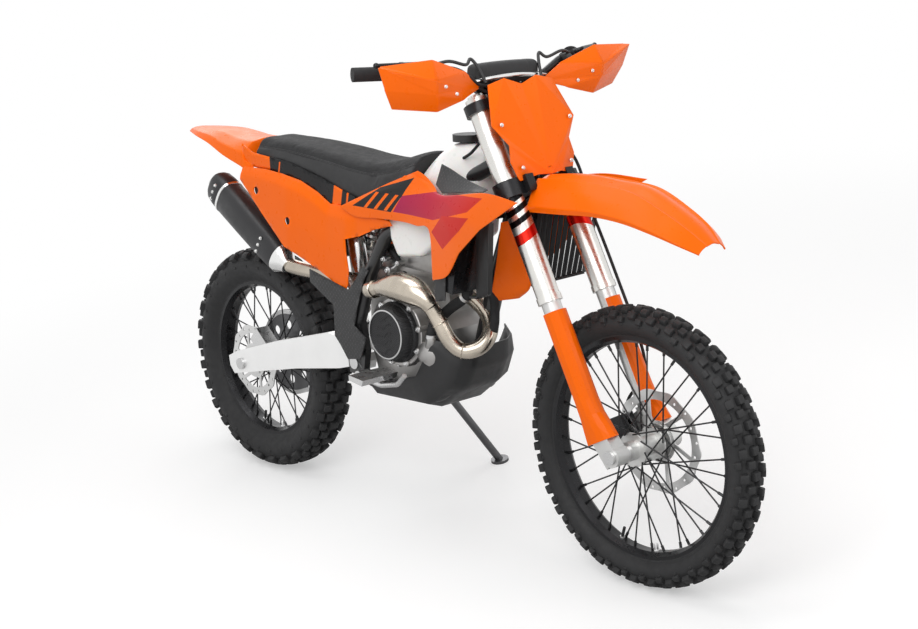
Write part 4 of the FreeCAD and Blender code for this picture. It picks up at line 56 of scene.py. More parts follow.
SIDES = (("left", 1), ("right", -1))

# Places

WHEELBASE, REAR_AXLE_Z, FRONT_AXLE_Z = 1485.0, 337.0, 345.0


def bike_frame():
    """The leaning bike's matrix, from its two wheel joints."""
    joints = {j["name"]: j for j in frame["record"]["behaviour"]["joints"]}
    rear, front = joints["rear_wheel_spin"], joints["front_wheel_spin"]
    side = Vector(rear["axis"]).normalized()
    way = (Vector(front["pos_m"]) - Vector(rear["pos_m"])).normalized()
    climb = math.atan2(FRONT_AXLE_Z - REAR_AXLE_Z, WHEELBASE)
    normal = way.cross(side)
    ahead = way * math.cos(climb) - normal * math.sin(climb)
    up = way * math.sin(climb) + normal * math.cos(climb)
    base = Vector(rear["pos_m"]) - up * REAR_AXLE_Z * MM
    matrix = Matrix((ahead, side, up)).transposed().to_4x4()
    matrix.translation = base
    return matrix


BIKE = bike_frame()
TURN = np.array(BIKE.to_3x3())
BASE = np.array(BIKE.translation)


def at(points):
    """Millimetres of the upright bike to metres of the model."""
    return np.asarray(points, float) * MM @ TURN.T + BASE


RAKE = math.radians(26.1)
STEER_UP = np.array((-math.sin(RAKE), 0, math.cos(RAKE)))
STEER_OUT = np.array((math.cos(RAKE), 0, math.sin(RAKE)))
FRONT_AXLE = np.array((WHEELBASE, 0, FRONT_AXLE_Z))
REAR_AXLE = np.array((0.0, 0, REAR_AXLE_Z))
STEER_ZERO = FRONT_AXLE - 50.3 * STEER_OUT


def steer(out, side, up):
    """A place on the straight fork: ahead of the steering axis, to the left, up along it."""
    return STEER_ZERO + out * STEER_OUT + up * STEER_UP + np.array((0, side, 0))


# Meshes

def mesh_piece(name, points, faces, body, material, smooth=True, sharp=None, slot=None, node=None):
    """A mesh from bike millimetres, riding on a body; node is the CAD piece that it stands for."""
    mesh = bpy.data.meshes.new(name)
    mesh.from_pydata([tuple(p) for p in at(points)], [], [tuple(f) for f in faces])
    mesh.validate()
    mesh.update()
    obj = bpy.data.objects.new(name, mesh)
    bpy.context.collection.objects.link(obj)
    mesh.materials.append(material)
    if smooth:
        mesh.shade_smooth()
        if sharp:
            mesh.set_sharp_from_angle(angle=math.radians(sharp))
    if body:
        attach(obj, body)
    if node:
        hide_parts(node)
    return obj


class Pile:
    """Vertices and faces gathered into one mesh."""

    def __init__(self):
        self.points, self.faces = [], []

    def add(self, points, faces):
        start = len(self.points)
        self.points.extend(np.asarray(points, float).tolist())
        self.faces.extend([[start + i for i in f] for f in faces])

    def make(self, name, body, material, **more):
        return mesh_piece(name, self.points, self.faces, body, material, **more)


def across(way):
    """Two directions square to a way."""
    way = np.asarray(way, float) / np.linalg.norm(way)
    other = np.array((0, 0, 1.0)) if abs(way[2]) < 0.9 else np.array((1.0, 0, 0))
    u = np.cross(way, other)
    u /= np.linalg.norm(u)
    return way, u, np.cross(way, u)


def circle(count, start=0.0):
    """Cosine and sine of evenly spaced angles."""
    angles = [2 * math.pi * k / count + start for k in range(count)]
    return [(math.cos(a), math.sin(a)) for a in angles]


def around(centre, radius, count, first):
    """Places on a circle that faces sideways, the first at an angle in degrees."""
    return [centre + radius * np.array((c, 0, s)) for c, s in circle(count, math.radians(first))]


def ring_faces(rows, sides, outward=True, caps=False):
    """Faces between closed rings of points, and over both ends where caps is set."""
    faces = []
    for i in range(rows - 1):
        for k in range(sides):
            n = (k + 1) % sides
            a, b, c, d = i * sides + k, i * sides + n, (i + 1) * sides + n, (i + 1) * sides + k
            faces.append([a, b, c, d] if outward else [a, d, c, b])
    if caps:
        first, last = list(range(sides)), [(rows - 1) * sides + k for k in range(sides)]
        faces += [first[::-1], last] if outward else [first, last[::-1]]
    return faces


def turned(pile, centre, way, profile, sides=32):
    """A shape turned round a line: profile rows are (along, radius); radius 0 closes an end."""
    centre = np.asarray(centre, float)
    way, u, v = across(way)
    rings, points = [], []
    for along, radius in profile:
        spokes = circle(sides) if radius else [(0.0, 0.0)]
        rings.append(range(len(points), len(points) + len(spokes)))
        points.extend(centre + way * along + radius * (c * u + s * v) for c, s in spokes)
    faces = []
    for a, b in zip(rings, rings[1:]):
        for k in range(sides):
            n = (k + 1) % sides
            if len(a) == 1:
                faces.append([a[0], b[n], b[k]])
            elif len(b) == 1:
                faces.append([a[k], a[n], b[0]])
            else:
                faces.append([a[k], a[n], b[n], b[k]])
    pile.add(points, faces)


def rounded(length, radius, edge):
    """The profile of a rod with rounded ends."""
    return [(0, 0), (0, radius - edge), (edge * 0.3, radius - edge * 0.3), (edge, radius),
            (length - edge, radius), (length - edge * 0.3, radius - edge * 0.3),
            (length, radius - edge), (length, 0)]


def rod(pile, start, end, radius, edge, sides=20):
    """A round bar with rounded ends."""
    start, end = np.asarray(start, float), np.asarray(end, float)
    length = float(np.linalg.norm(end - start))
    turned(pile, start, end - start, rounded(length, radius, min(edge, radius * 0.5)), sides)


def bolt(pile, seat, way, radius):
    """A flanged hexagon bolt head that stands on a seat."""
    head = radius * 0.8
    turned(pile, seat, way, [(-1, radius * 1.35), (head * 0.18, radius * 1.35),
                             (head * 0.32, radius * 1.15), (head * 0.32, 0)], 20)
    turned(pile, seat, way, [(head * 0.25, radius), (head, radius), (head * 1.12, radius * 0.86),
                             (head * 1.12, radius * 0.4), (head * 0.8, radius * 0.36),
                             (head * 0.8, 0)], 6)


def socket_bolt(pile, seat, way, radius):
    """A round bolt head with a hollow."""
    turned(pile, seat, way, [(-1, radius * 1.3), (radius * 0.25, radius * 1.3),
                             (radius * 0.35, radius), (radius * 0.95, radius),
                             (radius * 1.1, radius * 0.85), (radius * 1.1, radius * 0.5),
                             (radius * 0.5, radius * 0.46), (radius * 0.5, 0)], 18)


def smooth_line(points, per=8, closed=False):
    """Points on a Catmull-Rom line through the given ones."""
    points = np.asarray(points, float)
    out = []
    n = len(points)
    last = n if closed else n - 1
    for i in range(last):
        p1, p2 = points[i], points[(i + 1) % n]
        p0 = points[i - 1] if i or closed else 2 * p1 - p2
        p3 = points[(i + 2) % n] if i + 2 < n or closed else 2 * p2 - p1
        for k in range(per):
            t = k / per
            out.append(0.5 * (2 * p1 + (p2 - p0) * t + (2 * p0 - 5 * p1 + 4 * p2 - p3) * t * t
                              + (3 * p1 - p0 - 3 * p2 + p3) * t ** 3))
    if not closed:
        out.append(points[-1])
    return np.array(out)


def frames_along(line):
    """Two square directions at each point of a line, carried along without twist."""
    tangents = np.gradient(line, axis=0)
    tangents /= np.linalg.norm(tangents, axis=1)[:, None]
    _, u, _ = across(tangents[0])
    us = []
    for t in tangents:
        u = u - t * (u @ t)
        u /= np.linalg.norm(u)
        us.append(u)
    return np.array(us), np.cross(tangents, us)


def tube(pile, line, radius, sides=12):
    """A tube along a line; radius is one number or one for each point."""
    line = np.asarray(line, float)
    radius = np.broadcast_to(np.asarray(radius, float), (len(line),))
    us, vs = frames_along(line)
    points = [p + r * (c * u + s * v) for p, r, u, v in zip(line, radius, us, vs)
              for c, s in circle(sides)]
    pile.add(points, ring_faces(len(line), sides, False, True))


def refine(grid, per, sharp=()):
    """A grid of points made finer along its first axis, kinked only at the sharp rows."""
    grid = np.asarray(grid, float)
    n = len(grid)
    step = np.maximum(np.linalg.norm(np.diff(grid, axis=0), axis=2).mean(axis=1), 1e-6)
    slope = np.diff(grid, axis=0) / step[:, None, None]
    out = []
    for i in range(n - 1):
        a = b = slope[i]
        if i > 0 and i not in sharp:
            a = (slope[i - 1] * step[i] + slope[i] * step[i - 1]) / (step[i - 1] + step[i])
        if i < n - 2 and i + 1 not in sharp:
            b = (slope[i] * step[i + 1] + slope[i + 1] * step[i]) / (step[i] + step[i + 1])
        h = step[i]
        for k in range(per):
            u = k / per
            out.append((2 * u ** 3 - 3 * u * u + 1) * grid[i] + (u ** 3 - 2 * u * u + u) * h * a
                       + (3 * u * u - 2 * u ** 3) * grid[i + 1] + (u ** 3 - u * u) * h * b)
    out.append(grid[-1])
    return np.array(out)


def surface(rows, per_row=8, per_column=8, sharp_rows=(), sharp_columns=()):
    """A fine grid through a coarse one."""
    grid = refine(rows, per_row, sharp_rows)
    grid = refine(grid.transpose(1, 0, 2), per_column, sharp_columns)
    return grid.transpose(1, 0, 2)


def grid_faces(rows, columns):
    """Faces of an open grid of points."""
    faces = []
    for i in range(rows - 1):
        for j in range(columns - 1):
            a = i * columns + j
            faces.append([a, a + 1, a + columns + 1, a + columns])
    return faces


def thicken(obj, thick, edge=0.9, angle=50, even=False):
    """Give a skin its thickness and rounded edges."""
    solid = obj.modifiers.new("thickness", "SOLIDIFY")
    solid.thickness = thick * MM
    solid.offset = -1
    solid.use_even_offset = even
    round_edges(obj, edge, angle)


def shell(name, grid, thick, body, material, slot, node=None, inward=False):
    """A skin with a real thickness and rounded edges from a grid of points."""
    faces = grid_faces(*grid.shape[:2])
    if inward:
        faces = [f[::-1] for f in faces]
    obj = mesh_piece(name, grid.reshape(-1, 3), faces, body, material, slot=slot, node=node)
    thicken(obj, thick, even=True)


def round_edges(obj, width, angle, segments=2):
    """Bevel the edges that turn by more than an angle."""
    bevel = obj.modifiers.new("edges", "BEVEL")
    bevel.width = width * MM
    bevel.segments = segments
    bevel.limit_method = "ANGLE"
    bevel.angle_limit = math.radians(angle)
    bevel.harden_normals = False
    return bevel


def whole(table):
    """Rows from the right edge over the middle to the left edge, from a half table."""
    return np.array([np.vstack([row * (1, -1, 1), row[::-1][1:]])
                     for row in np.asarray(table, float)])


def sections(table):
    """Rows of points from rows of a place along the bike and its (side, height) pairs."""
    return [[(x, y, z) for y, z in pairs] for x, *pairs in table]


# Materials

class Nodes:
    """A node material under construction."""

    def __init__(self, name):
        self.material = bpy.data.materials.new(name)
        self.material.use_nodes = True
        self.tree = self.material.node_tree
        self.shader = self.tree.nodes["Principled BSDF"]
        self.place = self.add("ShaderNodeTexCoord").outputs["Object"]

    def add(self, kind, **settings):
        node = self.tree.nodes.new(kind)
        for key, value in settings.items():
            setattr(node, key, value)
        return node

    def link(self, out, into):
        self.tree.links.new(out, into)

    def feed(self, node, inputs):
        for key, value in inputs.items():
            socket = node.inputs[key]
            if hasattr(value, "is_linked"):
                self.link(value, socket)
            else:
                socket.default_value = value

    def math(self, kind, a, b=0.0, c=0.0):
        node = self.add("ShaderNodeMath", operation=kind)
        self.feed(node, {0: a, 1: b, 2: c})
        return node.outputs[0]

    def along(self, way):
        """How far a point lies along a direction of the upright bike, in metres."""
        way = Vector(TURN @ np.asarray(way, float))
        dot = self.add("ShaderNodeVectorMath", operation="DOT_PRODUCT")
        self.feed(dot, {0: self.place, 1: way})
        return self.math("ADD", dot.outputs["Value"], -float(Vector(BASE).dot(way)))

    def noise(self, scale, detail=3.0, rough=0.5):
        node = self.add("ShaderNodeTexNoise")
        self.feed(node, {"Vector": self.place, "Scale": scale, "Detail": detail, "Roughness": rough})
        return node.outputs["Fac"]

    def range(self, value, low, high, to_low, to_high):
        node = self.add("ShaderNodeMapRange")
        self.feed(node, {"Value": value, "From Min": low, "From Max": high, "To Min": to_low,
                         "To Max": to_high})
        return node.outputs["Result"]

    def mix(self, factor, a, b):
        """A colour from a to b; each is a socket or three numbers."""
        node = self.add("ShaderNodeMix", data_type="RGBA")
        colours = [s for s in node.inputs if s.type == "RGBA"]
        for socket, value in zip(colours, (a, b)):
            if hasattr(value, "is_linked"):
                self.link(value, socket)
            else:
                socket.default_value = (*value, 1.0)
        self.feed(node, {"Factor": factor})
        return [s for s in node.outputs if s.type == "RGBA"][0]

    def bump(self, height, depth):
        """Raise the surface by a height in shares of a depth in metres."""
        node = self.add("ShaderNodeBump")
        self.feed(node, {"Height": height, "Distance": depth, "Strength": 1.0})
        self.link(node.outputs["Normal"], self.shader.inputs["Normal"])

    def polygon(self, corners, x, z):
        """1 inside a convex polygon with corners in bike millimetres, given anticlockwise."""
        inside = None
        for (x0, z0), (x1, z1) in zip(corners, corners[1:] + corners[:1]):
            nx, nz = -(z1 - z0), x1 - x0
            length = math.hypot(nx, nz)
            nx, nz = nx / length, nz / length
            part = self.math("MULTIPLY_ADD", x, nx, -(nx * x0 + nz * z0) * MM)
            part = self.math("MULTIPLY_ADD", z, nz, part)
            part = self.math("GREATER_THAN", part, 0.0)
            inside = part if inside is None else self.math("MINIMUM", inside, part)
        return inside


def plain(name, colour, rough, metal=0.0, grain=(900, 0.00004), spread=0.12, coat=0.0,
          rough_spread=0.08, specular=0.5, shade_scale=9.0):
    """A material with slight colour clouds, uneven gloss and a fine surface grain."""
    n = Nodes(name)
    dim = tuple(c * (1 - spread) for c in colour)
    bright = tuple(min(c * (1 + spread * 0.6), 1.0) for c in colour)
    cloud = n.range(n.noise(shade_scale, 4.0), 0.3, 0.7, 0.0, 1.0)
    gloss = n.range(n.noise(55.0, 5.0, 0.6), 0.3, 0.7, max(rough - rough_spread, 0.02),
                    rough + rough_spread)
    n.feed(n.shader, {"Base Color": n.mix(cloud, dim, bright), "Roughness": gloss,
                      "Metallic": metal, "Coat Weight": coat, "Coat Roughness": 0.06,
                      "Specular IOR Level": specular})
    n.bump(n.noise(grain[0], 4.0, 0.6), grain[1])
    return n


ORANGE = (1.0, 0.15, 0.0012)
ORANGE_LOOK = dict(grain=(60, 0.00002), spread=0.03, coat=0.03, rough_spread=0.04, specular=0.14)
BLACK_INK, RED_INK, MAGENTA_INK = (0.012, 0.012, 0.013), (0.62, 0.02, 0.012), (0.36, 0.012, 0.09)


def paint(n, mask, colour):
    """Lay a flat colour over the base colour where the mask is 1."""
    base = n.shader.inputs["Base Color"]
    n.link(n.mix(mask, base.links[0].from_socket, colour), base)


def shroud_graphic(n):
    """Slanted blocks in black, red and magenta, in a layout of their own."""
    x, z = n.along((1, 0, 0)), n.along((0, 0, 1))
    fade = n.range(x, 0.72, 1.12, 0.0, 1.0)
    blend = n.mix(fade, MAGENTA_INK, RED_INK)
    paint(n, n.polygon([(770, 868), (960, 868), (1120, 906), (1176, 944), (940, 934), (806, 912)],
                       x, z), blend)
    paint(n, n.polygon([(955, 838), (1010, 802), (1090, 858), (1130, 893), (1004, 884)], x, z),
          RED_INK)
    paint(n, n.polygon([(590, 868), (760, 866), (806, 912), (842, 960), (700, 924)], x, z),
          BLACK_INK)
    for k in range(3):
        left = 640 + 44 * k
        paint(n, n.polygon([(left, 868), (left + 14, 868), (left + 62, 912), (left + 48, 912)],
                           x, z), ORANGE)


def fork_bars(n):
    """Plain slanted bars on the fork tubes, in black and red."""
    y, up = n.along((0, 1, 0)), n.along(STEER_UP)
    base = float(STEER_ZERO @ STEER_UP)
    wide, rise = 80, 34
    for low, high, colour in ((585, 600, BLACK_INK), (612, 627, BLACK_INK), (639, 654, BLACK_INK),
                              (540, 566, RED_INK)):
        for left, near, far in ((-140, 0, rise), (60, rise, 0)):
            corners = [(left, base + low + near), (left + wide, base + low + far),
                       (left + wide, base + high + far), (left, base + high + near)]
            paint(n, n.polygon(corners, y, up), colour)


def strip_graphic(n):
    """Orange behind, black ahead, with a few slanted blocks, along the seat's lower edge."""
    x, z = n.along((1, 0, 0)), n.along((0, 0, 1))
    paint(n, n.math("GREATER_THAN", x, 0.196), BLACK_INK)
    for left, wide in ((212, 6), (478, 40), (540, 8)):
        paint(n, n.polygon([(left, 840), (left + wide, 840), (left + wide + 30, 960),
                            (left + 30, 960)], x, z), ORANGE)


def net(n, side, slant, pitch, wide):
    """1 on the lines of a diamond net over x and another direction."""
    x, y = n.along((1, 0, 0)), n.along(side)
    lines = []
    for way in (slant, -slant):
        wave = n.math("PINGPONG", n.math("MULTIPLY_ADD", y, way, x), pitch)
        lines.append(n.range(wave, 0.0, wide, 1.0, 0.0))
    return n.math("MAXIMUM", *lines)


def clutch_net(n):
    """A raised net on the clutch cover."""
    n.bump(net(n, (0, 0, 1), 1.7, 0.0055, 0.0012), 0.0012)


def dotted(n):
    """Small raised dots over a black guard."""
    half_pitch = 0.007
    x, z = n.along((1, 0, 0)), n.along((0, 0, 1))
    waves = []
    for value in (x, z):
        wave = n.math("PINGPONG", value, half_pitch)
        waves.append(n.range(wave, 0.0, half_pitch, -1.0, 1.0))
    dot = n.range(n.math("MULTIPLY", *waves), 0.3, 0.55, 0.0, 1.0)
    n.bump(dot, 0.0016)
    paint(n, n.math("MULTIPLY", dot, 0.6), (0.06, 0.06, 0.062))


def seat_grip(n):
    """The seat's grippy top, pressed with small lozenges."""
    lines = net(n, (0, 1, 0), 1.4, 0.0028, 0.0009)
    fine = n.math("MULTIPLY", n.noise(1600, 3.0), 0.35)
    n.bump(n.math("MULTIPLY_ADD", lines, -1.0, fine), 0.0005)


def milky(n):
    """Light that sinks a little way into the tank."""
    n.feed(n.shader, {"Subsurface Weight": 0.15, "Subsurface Scale": 0.01})


def build_materials():
    """Each look's name, colour, roughness and metal, its other values and its pattern."""
    looks = {
        "orange": ("orange_plastic", ORANGE, 0.3, 0, ORANGE_LOOK),
        "shroud": ("shroud_plastic", ORANGE, 0.3, 0, ORANGE_LOOK, shroud_graphic),
        "strip": ("strip_plastic", ORANGE, 0.3, 0, ORANGE_LOOK, strip_graphic),
        "black": ("black_plastic", (0.022, 0.022, 0.023), 0.48, 0,
                  dict(grain=(300, 0.00003), spread=0.25)),
        "guard": ("guard_plastic", (0.02, 0.02, 0.021), 0.42, 0, dict(spread=0.2), dotted),
        "tank": ("tank_plastic", (0.94, 0.935, 0.91), 0.32, 0,
                 dict(spread=0.05, grain=(160, 0.00002), shade_scale=5.0), milky),
        "frame": ("frame_paint", (0.018, 0.018, 0.019), 0.34, 0,
                  dict(spread=0.25, coat=0.25, grain=(200, 0.00002))),
        "alloy": ("brushed_alloy", (0.93, 0.93, 0.925), 0.42, 0.7,
                  dict(spread=0.04, grain=(160, 0.00001))),
        "cast": ("cast_alloy", (0.44, 0.43, 0.42), 0.42, 0.85,
                 dict(spread=0.14, grain=(420, 0.00004), rough_spread=0.1)),
        "bright_cast": ("bright_cast", (0.66, 0.66, 0.65), 0.42, 0.95,
                        dict(spread=0.14, grain=(420, 0.00004))),
        "black_metal": ("black_anodised", (0.022, 0.022, 0.024), 0.3, 0.6,
                        dict(spread=0.2, grain=(1500, 0.00003))),
        "clutch": ("clutch_black", (0.03, 0.03, 0.032), 0.4, 0.5, dict(spread=0.2), clutch_net),
        "fork": ("fork_tube", (0.74, 0.73, 0.7), 0.3, 1,
                 dict(spread=0.05, grain=(120, 0.00001)), fork_bars),
        "steel": ("steel", (0.62, 0.62, 0.62), 0.3, 1, dict(spread=0.1, grain=(900, 0.00003))),
        "disc": ("disc_steel", (0.66, 0.66, 0.655), 0.34, 1,
                 dict(spread=0.08, grain=(420, 0.00003))),
        "dark_steel": ("dark_steel", (0.16, 0.16, 0.165), 0.36, 1, dict(spread=0.15)),
        "spoke": ("spoke", (0.05, 0.05, 0.052), 0.32, 0.9, dict(spread=0.2)),
        "header": ("tinted_stainless", (0.56, 0.5, 0.42), 0.24, 1,
                   dict(spread=0.2, shade_scale=14.0, grain=(160, 0.000006))),
        "can": ("silencer_black", (0.028, 0.028, 0.03), 0.4, 0.3,
                dict(spread=0.15, grain=(220, 0.00003))),
        "skid": ("skid_plastic", (0.017, 0.017, 0.018), 0.4, 0,
                 dict(spread=0.2, grain=(320, 0.00005))),
        "seat": ("seat_vinyl", (0.033, 0.033, 0.034), 0.62, 0,
                 dict(grain=(1500, 0.00012), rough_spread=0.06, specular=0.3)),
        "seat_top": ("seat_grip", (0.024, 0.024, 0.025), 0.7, 0, dict(specular=0.25), seat_grip),
        "thread": ("thread", (0.09, 0.09, 0.092), 0.7, 0, dict(grain=(4000, 0.0001))),
        "tyre": ("tyre_rubber", (0.022, 0.022, 0.023), 0.62, 0,
                 dict(grain=(380, 0.0001), spread=0.2, rough_spread=0.1, specular=0.35)),
        "rubber": ("black_rubber", (0.018, 0.018, 0.019), 0.72, 0,
                   dict(grain=(500, 0.00008), spread=0.2, rough_spread=0.1, specular=0.35)),
        "satin": ("polished_alloy", (0.82, 0.82, 0.81), 0.22, 1,
                  dict(spread=0.05, grain=(200, 0.00001))),
        "white": ("damper_white", (0.8, 0.79, 0.77), 0.35, 0, dict(spread=0.04)),
    }
    made = {}
    for key, (name, colour, rough, metal, more, *patterns) in looks.items():
        n = plain(name, colour, rough, metal, **more)
        for pattern in patterns:
            pattern(n)
        made[key] = n.material
    return made


MAT = build_materials()
NODE_MATERIALS = {
    "frame": ["frame"],
    "black": ["radiator_guards", "airbox", "throttle_body", "tank_cap"],
    "guard": ["frame_guards", "tank_guards"],
    "skid": ["skid_plate"],
    "tank": ["fuel_tank"],
    "alloy": ["swingarm", "subframe"],
    "bright_cast": ["front_hub", "rear_hub", "fork_sliders"],
    "fork": ["fork_tubes"],
    "cast": ["crankcase", "cylinder_head", "generator_cover"],
    "clutch": ["clutch_cover"],
    "black_metal": ["front_rim", "rear_rim", "handlebar", "levers", "front_caliper",
                    "lower_clamp", "upper_clamp", "radiators"],
    "header": ["header_pipe"],
    "disc": ["front_disc", "rear_disc"],
    "steel": ["front_axle", "rear_axle", "pivot_bolt", "chain", "front_sprocket",
              "foot_pegs", "rear_caliper", "foot_controls"],
    "dark_steel": ["rear_sprocket", "side_stand"],
    "spoke": ["front_spokes", "rear_spokes"],
    "can": ["silencer"],
    "tyre": ["front_tyre", "rear_tyre"],
    "rubber": ["grips", "front_brake_hose", "bar_pad", "seat"],
    "white": ["shock"],
    "orange": ["shroud_left", "shroud_right", "side_panel_left", "side_panel_right",
               "rear_fender", "fork_guards", "hand_guards", "number_plate", "front_fender",
               "front_panel"],
}


def dress_nodes():
    """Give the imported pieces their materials."""
    for key, names in NODE_MATERIALS.items():
        for name in names:
            obj = frame["nodes"][name]
            obj.data.materials.clear()
            obj.data.materials.append(MAT[key])


dress_nodes()

# Tyres

FRONT_PROFILE = ((0, 332), (15, 331), (26, 326), (35, 318), (40.5, 308), (40.5, 298), (36.5, 288),
                 (30, 281), (25.5, 277), (23.5, 271), (22, 268))
REAR_PROFILE = ((0, 323), (20, 322), (35, 317), (47, 307), (53, 295), (53.5, 281), (51, 268),
                (45, 256), (38, 247), (33.5, 240.5), (31, 233), (30, 230))
# side place along the profile (share), offset along the tread (pitch), length, width, height
FRONT_KNOBS = ((0.06, 0.0, 19, 15, 12.5), (0.19, 0.5, 17, 13, 12.5), (0.335, 0.04, 20, 15, 12.5),
               (0.45, 0.5, 17, 11, 9.5))
REAR_KNOBS = ((0.0, 0.0, 22, 30, 13.5), (0.155, 0.5, 23, 20, 13.5), (0.245, 0.02, 22, 15, 13.5),
              (0.34, 0.5, 27, 17, 14.0))


class Carcass:
    """A smooth tyre profile, measured along its own length."""

    def __init__(self, centre, profile):
        self.centre = centre
        line = smooth_line([(r, y, 0) for y, r in profile], 6)[:, :2]
        steps = np.linalg.norm(np.diff(line, axis=0), axis=1)
        self.line, self.along = line, np.concatenate([[0], np.cumsum(steps)])
        self.length = self.along[-1]
        self.crown = profile[0][1]

    def place(self, d):
        """Radius and side at a distance from the middle."""
        return [np.interp(d, self.along, self.line[:, k]) for k in (0, 1)]

    def section(self, s):
        """(radius, side, normal) at a distance from the middle, signed by side."""
        sign = 1 if s >= 0 else -1
        d, step = min(abs(s), self.length - 0.01), 1.5
        r, y = self.place(d)
        r1, y1 = self.place(max(d - step, 0))
        r2, y2 = self.place(d + step)
        n = np.array((y2 - y1, -(r2 - r1)))
        n /= np.linalg.norm(n)
        return r, sign * y, n[0], sign * n[1]

    def spot(self, u, s, h):
        """A point at u mm round the tread, s mm across it and h above it."""
        r, y, nr, ny = self.section(s)
        a = u / self.crown
        r, y = r + nr * h, y + ny * h
        return self.centre + np.array((r * math.sin(a), y, r * math.cos(a)))


def block_rings(length, width, height, lean):
    """Rectangles with cut corners that make up one knob, from its foot to its top."""
    out, c = [], 1.6
    for h, grow in ((-1.5, lean), (height - 1.4, 0.0), (height - 0.4, -0.6), (height, -1.6)):
        a, b = length / 2 + grow, width / 2 + grow
        out.append((h, [(a, b - c), (a - c, b), (0, b), (c - a, b), (-a, b - c), (-a, 0),
                        (-a, c - b), (c - a, -b), (0, -b), (a - c, -b), (a, c - b), (a, 0)]))
    return out


def knob(pile, carcass, u, s, length, width, height, lean=1.6, skew=0.0):
    """One block of the tread at u round the tyre and s across it."""
    rings = block_rings(length, width, height, lean)
    points = [carcass.spot(u + du + skew * ds, s + ds, h) for h, ring in rings for du, ds in ring]
    n = len(rings[0][1])
    faces = ring_faces(len(rings), n)
    points.append(carcass.spot(u, s, height))
    top = (len(rings) - 1) * n
    faces += [[top + k, top + (k + 1) % n, len(points) - 1] for k in range(n)]
    pile.add(points, faces)


def tyre(name, body, centre, profile, knobs, count, skew):
    """A tyre with raised rings on its sidewalls, rows of knobs and small buttons beside them."""
    carcass = Carcass(centre, profile)
    turns, steps, rib = 160, 30, 0.8
    side = [carcass.length * (1 - k / steps) for k in range(steps + 1)]
    stations = side + [-s for s in reversed(side[:-1])]
    pile = Pile()
    points = []
    for t in range(turns):
        u = 2 * math.pi * carcass.crown * t / turns
        for s in stations:
            share = abs(s) / carcass.length
            ringed = 0.60 < share < 0.625 or 0.86 < share < 0.885
            points.append(carcass.spot(u, s, rib if ringed else 0.0))
    m = len(stations)
    faces = []
    for t in range(turns):
        n = (t + 1) % turns
        for k in range(m - 1):
            faces.append([t * m + k, t * m + k + 1, n * m + k + 1, n * m + k])
        faces.append([t * m + m - 1, t * m, n * m, n * m + m - 1])
    pile.add(points, faces)
    pitch = 2 * math.pi * carcass.crown / count
    for k in range(count):
        for share, phase, length, width, height in knobs:
            u = pitch * (k + phase)
            if share == 0.0:
                knob(pile, carcass, u, 0.0, length, width, height)
                continue
            for sign in (1, -1):
                s = sign * share * carcass.length
                shift = 0.25 * pitch if sign > 0 and share < 0.3 else 0.0
                knob(pile, carcass, u + shift, s, length, width, height, skew=skew * sign)
        for sign in (1, -1):
            knob(pile, carcass, pitch * (k + 0.5), sign * 0.545 * carcass.length, 10, 8, 2.2, 0.8)
    pile.make(name + "_knobbly", body, MAT["tyre"], sharp=35, slot="tyre_rubber", node=name)


tyre("front_tyre", "front_wheel", FRONT_AXLE, FRONT_PROFILE, FRONT_KNOBS, 36, 0.12)
tyre("rear_tyre", "rear_wheel", REAR_AXLE, REAR_PROFILE, REAR_KNOBS, 30, 0.1)


def wheel_small_parts(name, body, axle, reach):
    """Valve stem and rim lock."""
    dark, bright = Pile(), Pile()
    for angle, length, pile, radius in ((196.0, 34, dark, 3.8), (171.0, 22, bright, 5.5)):
        a = math.radians(angle)
        way = -np.array((math.sin(a), 0, math.cos(a)))
        start = axle - way * (reach - 2)
        rod(pile, start, start + way * length, radius, 1.2)
        rod(bright, start, start + way * 8, radius + 3.5, 1.0, 6)
    dark.make(name + "_valve", body, MAT["rubber"], sharp=40)
    bright.make(name + "_rim_lock", body, MAT["steel"], sharp=40)


wheel_small_parts("front", "front_wheel", FRONT_AXLE, 262)
wheel_small_parts("rear", "rear_wheel", REAR_AXLE, 225)

# Bodywork

PLATE_POINTS = ((1110, 110, 1201), (1111, 56, 1207), (1113, 0, 1196), (1152, 138, 1108),
                (1172, 100, 1052), (1180, 110, 1020), (1190, 92, 972), (1204, 40, 984),
                (1208, 0, 985))
PLATE_FACES = ((0, 1, 3), (1, 2, 8), (1, 8, 3), (3, 8, 4), (4, 8, 7), (4, 7, 6), (4, 6, 5))
FRONT_FENDER = (
    ((1208, 84, 898), (1206, 87, 912), (1204, 68, 944), (1203, 44, 975), (1203, 36, 971), (1202, 0, 980)),
    ((1317, 90, 902), (1317, 93, 914), (1317, 74, 946), (1317, 48, 980), (1317, 40, 975), (1317, 0, 988)),
    ((1420, 92, 906), (1420, 95, 917), (1420, 76, 944), (1420, 50, 974), (1420, 42, 969), (1420, 0, 981)),
    ((1505, 90, 899), (1505, 93, 909), (1505, 74, 935), (1505, 50, 964), (1505, 42, 960), (1505, 0, 973)),
    ((1590, 84, 880), (1590, 86, 888), (1590, 68, 908), (1590, 46, 929), (1590, 39, 926), (1590, 0, 937)),
    ((1660, 70, 857), (1660, 72, 862), (1660, 56, 877), (1660, 38, 890), (1660, 32, 888), (1660, 0, 896)),
    ((1697, 46, 838), (1698, 47, 841), (1699, 36, 850), (1701, 24, 857), (1701, 20, 857), (1702, 0, 861)),
)
REAR_FENDER = sections((
    (112, (104, 925), (98, 940), (62, 944), (0, 944)),
    (74, (109, 930), (105, 950), (62, 955), (0, 956)),
    (60, (109, 936), (102, 974), (62, 1000), (0, 1008)),
    (-30, (106, 962), (98, 990), (56, 1006), (0, 1010)),
    (-120, (94, 990), (84, 1008), (48, 1020), (0, 1023)),
    (-215, (74, 1006), (62, 1016), (36, 1023), (0, 1025)),
    (-297, (40, 1012), (32, 1018), (18, 1022), (0, 1023)),
))
